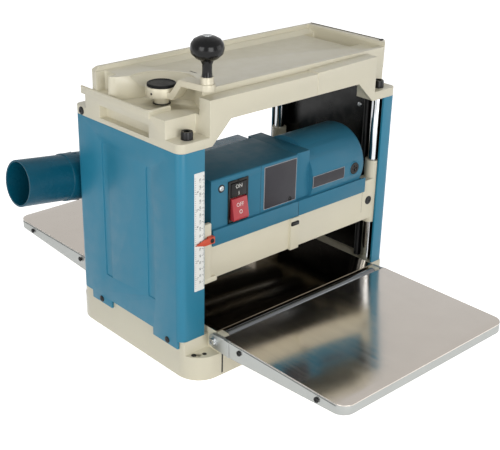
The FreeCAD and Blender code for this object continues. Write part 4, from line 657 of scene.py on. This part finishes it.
trimLooks = {      # colour, colour where worn, roughness, and what is its own
    "scaleInk": ("26272B", "26272B", 0.5, {"bump": 0.03}),
    "whitePrint": ("D6D5D0", "D6D5D0", 0.5, {"bump": 0.03}),
    "labelFilm": ("29272D", "4A4950", 0.36, {"specular": 0.3, "mottle": 0.12, "patch": 60.0, "bump": 0.05}),
    "labelEdge": ("8F9094", "8F9094", 0.4, {"bump": 0.04}),
    "seamShade": ("0B2732", "0B2732", 0.6, {"bump": 0.05}),
    "castSeamShade": ("85806C", "85806C", 0.6, {"bump": 0.05}),
    "gasketFelt": ("4A4739", "4A4739", 0.85, {"grain": 2200.0, "bump": 0.6}),
    # painted shade for holes, slots and gaps
    "paintedRecessShade": ("090908", "090908", 0.8, {"bump": 0.05}),
    "capFace": ("0E0F11", "2A2B2D", 0.55, {"specular": 0.12, "bump": 0.12}),
}
finishes.update({name: skinFinish(name, *look) for name, look in trimLooks.items()})


# bolts and screws, with their sockets and crosses

boltAngle = 28      # degrees, so that the rims of the heads stay crisp

boltShapes = {
    # (radius, height, outline) as shares of the head's radius and rise
    "socket": [(1.0, 0.0), (1.0, 0.8), (0.92, 1.0), (0.62, 1.0), (0.56, 0.97, "hexagon"),
               (0.56, 0.35, "hexagon")],
    "cross": [(1.0, 0.0), (1.0, 0.35), (0.93, 0.7), (0.78, 0.93), (0.7, 1.0), (0.62, 0.98, "cross"),
              (0.56, 0.45, "cross")],
    "washer": [(1.0, 0.0), (1.0, 0.28), (0.97, 0.32), (0.84, 0.34), (0.84, 0.36, "hexagon"),
               (0.84, 0.9, "hexagon"), (0.74, 1.0), (0.42, 1.0), (0.38, 0.97, "hexagon"),
               (0.38, 0.5, "hexagon")],
    "dome": [(1.0, 0.0), (1.0, 0.25), (0.9, 0.6), (0.66, 0.88), (0.4, 1.0), (0.34, 0.98, "hexagon"),
             (0.34, 0.55, "hexagon")],
}


def boltShell(shape, radius, rise, side, at, shank=0.0):
    profile = [(radius * share[0], rise * share[1], *share[2:]) for share in boltShapes[shape]]
    if shank:
        profile = [(radius * 0.6, -shank), (radius * 0.6, 0.0)] + profile
    return turnedShell(profile, side, at)


def boltsOf(name, rows):
    # one piece for all the bolts of a node, which it stands in for
    addTrim(name + "_heads", [boltShell(*row) for row in rows], name, slotOf[name], boltAngle, standsIn=True)


def endsOf(name):
    low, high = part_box(name)
    return np.array(low) / mm, np.array(high) / mm


boltPlaces = {      # mm
    "cover": {"rise": 2.0, "shank": 8.0, "corner": 6.0, "tab": 5.0, "tabAlong": (-89.5, 70.2),
              "tabHeight": 52.0},
    "column": {"boss": 7.0, "rise": 14.0, "head": (8.2, 11.0)},
    "table": ("cross", 1.5, 6.0),      # shape, rise and shank
    "hinge": ("washer", 5.0, 9.0),
}


def coverScrewRows(settings):
    # two in the tabs at the foot of each cover and one in its upper corner
    low, high = endsOf("cover_screws")
    rise, corner, shank = settings["rise"], settings["corner"], settings["shank"]
    rows = []
    for side, x in (("left", low[0] + rise), ("right", high[0] - rise)):
        for y in settings["tabAlong"]:
            rows.append(("dome", settings["tab"], rise, side, (x, y, settings["tabHeight"]), shank))
        rows.append(("dome", corner, rise, side, (x, high[1] - corner, high[2] - corner), shank))
    return rows


def columnBoltRows(settings):
    low, high = endsOf("column_bolts")
    boss, rise = settings["boss"], settings["rise"]
    return [("socket", *settings["head"], "top", (x, y, high[2] - rise), high[2] - low[2] - rise)
            for x in (low[0] + boss, high[0] - boss) for y in (low[1] + boss, high[1] - boss)]


def sideBoltRows(name, shape, rise, shank):
    # one at each end of both sides, as wide as the node's box is high
    low, high = endsOf(name)
    radius = (high[2] - low[2]) / 2
    return [(shape, radius, rise, side, (x, y, low[2] + radius), shank)
            for side, x in (("left", low[0] + rise), ("right", high[0] - rise))
            for y in (low[1] + radius, high[1] - radius)]


boltsOf("cover_screws", coverScrewRows(boltPlaces["cover"]))
boltsOf("column_bolts", columnBoltRows(boltPlaces["column"]))
for name, kind in (("front_table_bolts", "table"), ("rear_table_bolts", "table"), ("hinge_bolts", "hinge")):
    boltsOf(name, sideBoltRows(name, *boltPlaces[kind]))


# screws in the head's front: the pointer's, the panel's, and two in the switch cover

headScrewSettings = {      # mm, radius, rise and place
    "pointer": (3.4, 1.2, (-161.0, -124.6, 203.0)),
    "panel": (7.0, 1.5, (173.0, -115.0, 170.5)),
    "shank": 4.0,
    "cover": {"radius": 4.4, "collar": 5.8, "rise": 1.6, "bright": (-134.5, -111.9, 268.5),
              "dark": (-1.0, -111.9, 219.0)},
}


def addHeadScrews(settings):
    dark = []
    for key in ("pointer", "panel"):
        radius, rise, at = settings[key]
        dark.append(boltShell("dome", radius, rise, "front", at, settings["shank"]))
    cover = settings["cover"]
    radius, collar, rise = cover["radius"], cover["collar"], cover["rise"]
    ring = [(collar, 0), (collar, 0.35), (radius, 0.45), (radius, 0.1)]
    dark.append(turnedShell(ring, "front", cover["bright"]))
    dark.append(boltShell("cross", radius - 0.8, rise, "front", cover["dark"]))
    addTrim("head_screws_dark", dark, "head_screws", "black_steel", boltAngle, standsIn=True)
    bright = boltShell("cross", radius - 0.3, rise, "front", cover["bright"])
    addTrim("switch_cover_screw", [bright], "head_screws", "zinc_steel", boltAngle)


addHeadScrews(headScrewSettings)
print("bolts and screws: 6 nodes")


# the scale on the left cover: its plate, its divisions and its numbers

scaleSettings = {      # mm
    "corner": 1.2, "edge": 0.35,                   # the plate's corners and its chamfer
    "knives": 1.8,                                 # how far the knives reach below the drum
    "margin": 4, "step": 2, "eighth": 3.175,       # free at each end, between divisions, an eighth of an inch
    "short": 2.2, "middle": 3.2, "long": 4.6,      # divisions at 2, 5 and 10 mm
    "line": 0.4, "ink": 0.08, "inset": 0.5,        # width, rise, and distance from the plate's long edges
    "metric": {"size": 4.2, "across": 1.1, "up": 0.0},
    "inches": {"size": 5.0, "across": -3.4, "up": 2.6},
}


def addNumbers(numbers, heights, face, settings):
    # the number beside each long division, read from the side
    x, y = face[0] + settings["across"], face[1] - 0.04
    return [letterShell(str(int(number)), settings["size"], "front", (x, y, height + settings["up"]),
                        0.1, math.pi / 2)
            for number, height in zip(numbers, heights)]


def addScale(settings):
    low, high = endsOf("scale_plate")
    width, gauge, tall = high - low
    middle = (low + high) / 2
    edge, step, eighth, ink = (settings[key] for key in ("edge", "step", "eighth", "ink"))
    plate = plateShell(width, tall, settings["corner"], [(0, 0), (0, gauge - edge), (edge, gauge)], "front",
                       (middle[0], high[1], middle[2]))
    addTrim("scale_plate_film", [plate], "scale_plate", "scale_paint", standsIn=True)
    face = (middle[0], low[1], 0.0)
    pointer = sum(endsOf("depth_pointer")) / 2
    knifeLow = endsOf("cutter_drum")[0][2] - settings["knives"]
    zero = pointer[2] - (knifeLow - endsOf("table_sheet")[1][2])
    first, last = low[2] + settings["margin"] - zero, high[2] - settings["margin"] - zero
    values = np.arange(math.ceil(first / step), last / step) * step
    tens = values % 10 == 0
    length = np.where(values % 5 == 0, settings["middle"], settings["short"])
    length = np.where(tens, settings["long"], length)
    line = np.where(tens, settings["line"] * 1.3, settings["line"])
    metric = np.column_stack([width / 2 - settings["inset"] - length / 2, zero + values, length, line,
                              np.full(len(values), ink)])
    eighths = np.arange(math.ceil(first / eighth), last / eighth)
    wholes = eighths % 8 == 0
    length = np.where(wholes, settings["long"], settings["short"] * 0.8)
    inches = np.column_stack([-width / 2 + settings["inset"] + length / 2, zero + eighths * eighth, length,
                              np.full(len(eighths), settings["line"]), np.full(len(eighths), ink)])
    shells = [barShell(np.vstack([metric, inches]), "front", face)]
    shells += addNumbers(values[tens], zero + values[tens], face, settings["metric"])
    shells += addNumbers(eighths[wholes] // 8, zero + eighths[wholes] * eighth, face, settings["inches"])
    addTrim("scale_marks", shells, "scale_plate", "scaleInk")
    print("scale: from", int(values[0]), "to", int(values[-1]), "mm")


addScale(scaleSettings)


# the switch: ON on its button, OFF on its paddle, and its two small screws

switchSettings = {"screw": (1.9, 1.1), "screwEnd": 2.3, "letters": 8.0, "sign": 6.8}      # mm


def signShell(kind, size, side, at, rise):
    # the usual signs: a bar for on, a ring for off
    if kind == "bar":
        return barShell([(0, 0, size * 0.14, size * 0.8, rise)], side, at)
    angle = turnsOf(24)
    ring = np.column_stack([np.cos(angle), np.sin(angle), np.zeros(len(angle))])
    outer, inner = size * 0.42, size * 0.29
    up = np.array([0, 0, rise])
    rows = np.stack([ring * inner, ring * outer, ring * outer + up, ring * inner + up, ring * inner])
    points, faces = closedShell(placed(rows, side, at))
    return points, faces[:-2]


def leanTo(shells, middle, normal):
    # the flat shells laid on a sloping face: each point moves along Y to the plane through the middle
    laid = []
    for points, faces in shells:
        offset = points / mm - middle
        shift = -(offset[:, 0] * normal[0] + offset[:, 2] * normal[2]) / normal[1]
        out = offset[:, 1]
        laid.append(((middle + np.column_stack([offset[:, 0], shift + out, offset[:, 2]])) * mm, faces))
    return laid


def addSwitchMarks(settings):
    for node, word, sign in (("on_button", "ON", "bar"), ("off_paddle", "OFF", "ring")):
        face, normal = facePlane(node, "front")
        middle = sum(endsOf(node)) / 2
        x, z = middle[0], (face[2] + middle[2]) / 2
        gap = settings["letters"] * 0.62
        shells = [letterShell(word, settings["letters"], "front", (x, face[1] - 0.05, z + gap), 0.12),
                  signShell(sign, settings["sign"], "front", (x, face[1], z - gap), 0.1)]
        addTrim(node + "_mark", leanTo(shells, face, normal), node, "whitePrint")
    low, high = endsOf("switch_body")
    screws = [boltShell("cross", *settings["screw"], "front", ((low[0] + high[0]) / 2, low[1], z), 2.0)
              for z in (high[2] - settings["screwEnd"], low[2] + settings["screwEnd"])]
    addTrim("switch_screws", screws, "switch_body", "black_steel", boltAngle)


addSwitchMarks(switchSettings)
print("switch marked")


# blank label plates: a flat one on the switch cover, a curved one on the motor

labelSettings = {      # mm and degrees
    "flat": {"x": (-54.0, 10.5), "z": (214.5, 279.5), "y": -112.0, "gauge": 0.6, "corner": 1.6, "rim": 1.1},
    "curved": {"x": (40.0, 108.0), "lean": (-10.0, 8.5), "axis": (-62.0, 235.5), "radius": 56.5, "gauge": 0.7,
               "rim": 0.8, "sunk": 0.6},
}


def curvedPlate(settings, inset, rise):
    # a patch of a cylinder: across is x, along is the angle below and above level, in and out is the radius
    across = np.array(settings["x"], dtype=float) + (inset, -inset)
    lean = np.radians(np.linspace(*settings["lean"], 12))
    slack = inset / settings["radius"]
    lean = lean * (1 - 2 * slack / (lean[-1] - lean[0]))
    layers = []
    for radius in (settings["radius"] - settings["sunk"], settings["radius"] + rise):
        y = settings["axis"][0] - radius * np.cos(lean)
        z = settings["axis"][1] + radius * np.sin(lean)
        layers.append([np.column_stack([np.full(12, x), y, z]) for x in across])
    inner, outer = layers
    return closedShell(np.stack([inner[0], outer[0], outer[1], inner[1]], axis=1) * mm)


def addLabels(settings):
    flat, curved = settings["flat"], settings["curved"]
    (left, right), (low, high) = flat["x"], flat["z"]
    at = ((left + right) / 2, flat["y"], (low + high) / 2)
    width, tall, gauge, inset = right - left, high - low, flat["gauge"], flat["rim"] * 2
    rim = plateShell(width, tall, flat["corner"], [(0, 0), (0, gauge - 0.15), (0.15, gauge)], "front", at)
    film = plateShell(width - inset, tall - inset, flat["corner"] * 0.6,
                      [(0, 0), (0, gauge + 0.08), (0.1, gauge + 0.12)], "front", at)
    addTrim("switch_label_rim", [rim], "switch_cover", "labelEdge")
    addTrim("switch_label", [film], "switch_cover", "labelFilm")
    addTrim("motor_label_rim", [curvedPlate(curved, 0.0, curved["gauge"])], "motor_housing", "labelEdge")
    film = curvedPlate(curved, curved["rim"], curved["gauge"] + 0.12)
    addTrim("motor_label", [film], "motor_housing", "labelFilm")


addLabels(labelSettings)
print("blank labels: 2")


# seams of the moulded covers, and the ridge at the edge of the top beam

seamSettings = {      # node and finish, then x, z, width, height, rise and the y of the face below each seam
    "cover_seams": ("switch_cover", "seamShade", [(-60.5, 236.0, 0.5, 95.0, 0.12, -111.95),
                                                  (-122.5, 241.0, 0.45, 66.0, 0.12, -111.95),
                                                  (13.2, 200.0, 0.6, 24.0, 0.14, -117.0)]),
    "head_panel_seam": ("head_casting", "castSeamShade", [(158.0, 171.0, 0.5, 36.0, 0.1, -115.0)]),
}

ridgeSettings = {"x": 38.0, "y": -121.0, "z": (369.5, 401.0), "width": 1.6, "rise": 0.7}


def addRidge(settings):
    low, high = settings["z"]
    rise = settings["rise"]
    ridge = plateShell(settings["width"], high - low, 0.7, [(0, 0), (0.1, rise * 0.6), (0.5, rise)], "front",
                       (settings["x"], settings["y"], (low + high) / 2))
    addTrim("beam_ridge", [ridge], "top_frame", "cast_paint")


for name, (node, look, seams) in seamSettings.items():
    addTrim(name, [barShell([seam[:5]], "front", (0.0, seam[5], 0.0)) for seam in seams], node, look)
addRidge(ridgeSettings)


# the cap of the crank and the felt on the tray's rim

# mm, radius and height of the cap's rings
capProfile = [(20.0, 0.0), (20.0, 2.6), (19.5, 3.6), (18.6, 4.0), (17.4, 3.9), (17.0, 3.1)]


def addCrankCap(profile):
    low, high = endsOf("crank_cap")
    cap = turnedShell(profile, "top", (*((low + high) / 2)[:2], low[2]), 64)
    addTrim("crank_cap_disc", [cap], "crank_cap", "capFace", 30, standsIn=True)


feltSettings = {      # mm, width and rise of the strip, its two ends, and the tab at its front end
    "width": 2.4, "rise": 0.7, "inset": 1.7, "along": (-84.0, 69.5),
    "tab": (7.0, 5.0, 1.6), "tabAt": (-2.6, 1.5),
}


def addRimFelt(settings):
    high = endsOf("top_tray")[1]
    x, rise = high[0] - settings["inset"], settings["rise"]
    front, back = settings["along"]
    strip = plateShell(settings["width"], back - front, 1.0, [(0, 0), (0.1, rise * 0.7), (0.5, rise)], "top",
                       (x, (front + back) / 2, high[2]))
    wide, deep, rise = settings["tab"]
    besideX, besideY = settings["tabAt"]
    tab = plateShell(wide, deep, 1.0, [(0, 0), (0.15, rise * 0.7), (0.8, rise)], "top",
                     (x + besideX, front + besideY, high[2]))
    addTrim("rim_felt", [strip], "top_tray", "gasketFelt")
    addTrim("rim_stop", [tab], "top_tray", "black_plastic")


addCrankCap(capProfile)
addRimFelt(feltSettings)
print("crank cap, rim felt and seams added")


# small forms on the castings: the head's left boss with its foot, the rib's clip, holes and slots in the
# base; the holes and slots are dark patches of painted shade

castTrim = {      # mm
    "boss": {"x": (-170.5, -157.0), "z": (142.5, 226.0), "y": (-113.0, -118.5)},
    "foot": {"x": (-171.0, -147.0), "z": (136.0, 144.0), "y": (-113.0, -119.5)},
    "clip": {"x": (-3.0, 12.0), "z": (177.0, 183.0), "y": (-119.0, -121.6)},
    "holes": ((-197.0, -128.0, 3.4), (-183.0, -134.5, 2.6)),      # x, y, radius in the corner foot's top
    "footTop": 37.0, "lip": 0.7,
    "slot": (-160.5, 20.0, 2.6, 33.0),                            # x, z, width, height in the base's front
    "baseFront": -147.0,
    "trayMark": (-96.0, -14.0, 1.8, 30.0),                        # x, y, width, length on the tray's floor
    "trayFloor": 402.0,
    "linerScrew": (4.0, 1.6, (206.0, -57.0, 308.0)),              # radius, rise and place
}


def blockShell(place, corner, edge):
    # an upright block with round corners and a soft front edge
    (left, right), (low, high), (back, front) = place["x"], place["z"], place["y"]
    depth = back - front
    levels = [(0, 0), (0, depth - edge), (edge * 0.4, depth - edge * 0.3), (edge, depth)]
    middle = ((left + right) / 2, back, (low + high) / 2)
    return plateShell(right - left, high - low, corner, levels, "front", middle)


def addCastTrim(settings):
    boss = [blockShell(settings["boss"], 2.0, 1.2), blockShell(settings["foot"], 2.5, 1.2)]
    addTrim("head_left_boss", boss, "head_casting", "cast_paint")
    clip = blockShell(settings["clip"], 1.2, 0.8)
    addTrim("rib_clip", [clip], "head_casting", "black_plastic")
    top, lip = settings["footTop"], settings["lip"]
    # painted shade: the holes in the corner foot's top and the slots in the base's front are dark patches
    holes = [turnedShell([(radius + lip, -0.5), (radius + lip, 0.12), (radius, 0.16)], "top",
                         (way * x, way * y, top), 32)
             for way in (1, -1) for x, y, radius in settings["holes"]]
    x, z, width, height = settings["slot"]
    front = settings["baseFront"]
    holes += [barShell([(0, 0, width, height, 0.15)], side, (way * x, y, z))
              for side, y in (("front", front), ("back", -front)) for way in (1, -1)]
    addTrim("base_bores", holes, "base_casting", "paintedRecessShade")
    # painted shade: the slot in the tray's floor is a dark patch
    x, y, width, length = settings["trayMark"]
    at = (x, y, settings["trayFloor"])
    mark = plateShell(width, length, 0.8, [(0, -0.3), (0, 0.1), (0.2, 0.2)], "top", at)
    addTrim("tray_slot", [mark], "top_tray", "paintedRecessShade")
    radius, rise, at = settings["linerScrew"]
    screw = boltShell("cross", radius, rise, "left", at)
    addTrim("liner_screw", [screw], "right_inner_panel", "zinc_steel", boltAngle)


addCastTrim(castTrim)


# painted shade: a dark strip in the joint between each folding table's sheet and its rails

tableJoint = {"height": 0.9, "proud": 0.12, "ends": (163.0, 372.0)}


def addTableJoints(settings):
    near, far = settings["ends"]
    rows = [(0, 0, far - near, settings["height"], settings["proud"])]
    for name, way in (("front_table_frame", -1), ("rear_table_frame", 1)):
        low, high = endsOf(name)
        place = (way * (near + far) / 2, high[2] - settings["height"] / 2)
        shells = [barShell(rows, side, (x, *place)) for side, x in (("left", low[0]), ("right", high[0]))]
        addTrim(name + "_joint", shells, name, "paintedRecessShade")


addTableJoints(tableJoint)


# the ribs round the root of the dust nozzle

nozzleRibs = {
    "start": (-150.0, 160.0, 216.0), "tilt": 7.0,             # mm and degrees, the nozzle's axis
    "along": (44.0, 70.0), "inner": 34.0, "outer": (37.4, 35.2),    # mm, tall end and low end
    "width": 1.7, "count": 16,
}


def addNozzleRibs(settings):
    # each rib is a wedge: along the axis, across by its width, out from the pipe to its tall and low ends
    tilt = math.radians(settings["tilt"])
    ahead = np.array([-math.cos(tilt), 0.0, math.sin(tilt)])
    toFront = np.array([0.0, -1.0, 0.0])
    upward = np.cross(ahead, toFront)
    turn = turnsOf(settings["count"])[:, None]
    out = np.cos(turn) * toFront + np.sin(turn) * upward
    across = np.sin(turn) * toFront - np.cos(turn) * upward
    near, far = settings["along"]
    tall, short = settings["outer"]
    inner, half = settings["inner"], settings["width"] / 2
    table = np.array([(near, -half, inner), (far, -half, inner), (far, half, inner), (near, half, inner),
                      (near, -half, tall), (far, -half, short), (far, half, short), (near, half, tall)])
    points = (np.array(settings["start"]) + table[:, 0:1] * ahead
              + table[None, :, 1:2] * across[:, None, :] + table[None, :, 2:3] * out[:, None, :])
    shell = (points.reshape(-1, 3) * mm, facesOfBlocks(settings["count"]))
    addTrim("nozzle_ribs", [shell], "dust_hood", "duct_plastic")


addNozzleRibs(nozzleRibs)


# the round bead on the frame's left lip, and the dark pin and washer of the crank

lipSettings = {      # mm
    "radius": 1.9, "x": -215.4, "back": 96.0, "middle": 20.0, "front": -58.6, "inner": -180.0,
    "height": 380.8, "bend": 6.0,
}


def carriedShell(path, radius, around=14):
    # a round section carried along a level path: each ring stands across the path's direction there
    ahead = np.gradient(path, axis=0)
    ahead /= np.linalg.norm(ahead, axis=1, keepdims=True)
    up = np.array([0.0, 0.0, 1.0])
    across = np.cross(up, ahead)
    angle = turnsOf(around)[None, :, None]
    ring = np.cos(angle) * across[:, None, :] + np.sin(angle) * up
    return closedShell((path[:, None, :] + radius * ring) * mm)


def addLipBead(settings):
    x, front, bend = settings["x"], settings["front"], settings["bend"]
    turn = np.radians(np.linspace(180, 270, 9))
    arc = np.array([x + bend, front + bend]) + bend * np.column_stack([np.cos(turn), np.sin(turn)])
    plan = np.vstack([[x, settings["back"]], [x, settings["middle"]], arc, [settings["inner"], front]])
    path = np.column_stack([plan, np.full(len(plan), settings["height"])])
    addTrim("lip_bead", [carriedShell(path, settings["radius"])], "top_frame", "cast_paint", 60)


crankPins = {      # mm: radius and place, then radius, bore and rise
    "pin": (1.7, (-189.3, -31.0, 393.5)),
    "washer": (12.4, 8.0, 1.1), "washerAt": (-168.0, -26.0, 376.2),
}


def addCrankPins(settings):
    radius, at = settings["pin"]
    pin = turnedShell([(radius, -1.0), (radius, 0.4), (radius - 0.4, 0.5)], "left", at, 20)
    wide, bore, rise = settings["washer"]
    washer = turnedShell([(wide, 0.0), (wide, rise * 0.7), (wide - 0.5, rise), (bore, rise)], "top",
                         settings["washerAt"])
    addTrim("crank_pin_washer", [pin, washer], "crank_arm", "black_steel", 30)


addLipBead(lipSettings)
addCrankPins(crankPins)


# the brush caps, each in a collar

brushProfiles = {      # mm, radius and height over the cap's face, and its outline
    "cap": [(9.4, -12.0), (9.4, -0.6), (8.8, 0.0), (5.828, 0.0), (5.452, -0.5), (4.7, -0.5),
            (4.324, -0.1, "cross"), (4.136, -1.0, "cross")],
    "collar": [(11.4, -8.0), (11.4, -0.9), (10.9, -0.3), (9.6, -0.3), (9.4, -1.2)],
}


def addBrushCaps(profiles):
    low, high = endsOf("brush_caps")
    x, _, z = (low + high) / 2
    places = [(side, (x, y, z)) for side, y in (("front", low[1]), ("back", high[1]))]
    caps, collars = ([turnedShell(profiles[kind], *place) for place in places] for kind in ("cap", "collar"))
    addTrim("brush_caps_slotted", caps, "brush_caps", "black_plastic", boltAngle, standsIn=True)
    addTrim("brush_collars", collars, "brush_caps", "motor_plastic", boltAngle)


addBrushCaps(brushProfiles)
print("castings and motor trimmed")


# threads on the two lift screws

threadSettings = {      # mm, and the rings per turn
    "root": 5.05, "crest": 5.75, "pitch": 2.0, "foot": 58.0, "top": 380.0, "perTurn": 5, "around": 16,
}


def addThread(node, settings):
    # radius = root + crest height x a triangle wave of (height / pitch - angle / full turn)
    root, pitch, foot, top = (settings[key] for key in ("root", "pitch", "foot", "top"))
    middle = sum(endsOf(node)) / 2
    height = np.linspace(foot, top, int((top - foot) / pitch * settings["perTurn"]))[:, None]
    angle = turnsOf(settings["around"])[None, :]
    phase = np.mod(height / pitch - angle / (2 * math.pi), 1.0)
    radius = root + (settings["crest"] - root) * (1 - np.abs(2 * phase - 1))
    level = np.broadcast_to(height, radius.shape)
    rows = np.stack([radius * np.cos(angle), radius * np.sin(angle), level], axis=-1)
    shell = closedShell(placed(rows, "top", (middle[0], middle[1], 0.0)))
    addTrim(node + "_thread", [shell], node, "black_steel", 60)


for screw in ("left_lift_screw", "right_lift_screw"):
    addThread(screw, threadSettings)
print("threads cut")


# floor and lights

def floorMaterial(shade, glowStrength):
    # a white floor that keeps the shadow: seen directly it also glows, so that it ends in white
    material, tree, shader, output = startMaterial("studioFloor")
    feed(tree, shader, {"Base Color": (shade, shade, shade, 1), "Roughness": 0.9})
    glow = addNode(tree, "ShaderNodeEmission", {"Strength": glowStrength})
    path = addNode(tree, "ShaderNodeLightPath").outputs
    seen = mathNode(tree, "MAXIMUM", path["Is Camera Ray"], path["Is Glossy Ray"])
    plain = shader.outputs["BSDF"]
    total = addNode(tree, "ShaderNodeAddShader", {0: plain, 1: glow.outputs["Emission"]})
    feed(tree, output, {"Surface": mixShader(tree, seen, plain, total.outputs["Shader"])})
    return material


def addFloor(settings):
    mesh = bpy.data.meshes.new("studioFloor")
    half = settings["floorSize"] / 2
    corners = [(-half, -half, 0), (half, -half, 0), (half, half, 0), (-half, half, 0)]
    mesh.from_pydata(corners, [], [(0, 1, 2, 3)])
    floor = bpy.data.objects.new("studioFloor", mesh)
    floor.location.z = settings["floorHeight"]
    scene.collection.objects.link(floor)
    paint(floor, floorMaterial(settings["floorShade"], settings["floorGlow"]))


def addWorld(settings):
    world = bpy.data.worlds.new("studio")
    world.use_nodes = True
    tree = world.node_tree
    tree.nodes.clear()
    path = addNode(tree, "ShaderNodeLightPath").outputs
    seen = mathNode(tree, "MAXIMUM", path["Is Camera Ray"], path["Is Transmission Ray"])
    rough, gloss, backdrop = (
        addNode(tree, "ShaderNodeBackground", {"Color": (1, 1, 1, 1), "Strength": settings[key]}).outputs[0]
        for key in ("skyStrength", "skyInGloss", "backdrop"))
    lit = mixShader(tree, path["Is Glossy Ray"], rough, gloss)
    addNode(tree, "ShaderNodeOutputWorld", {"Surface": mixShader(tree, seen, lit, backdrop)})
    scene.world = world


addCamera(cameraSettings)
addWorld(lightSettings)
addFloor(lightSettings)
for name, lamp in lightSettings["lamps"].items():
    addLamp(name + "Lamp", *lamp)
scene.view_settings.view_transform = "Standard"
print("camera, floor and lights set")
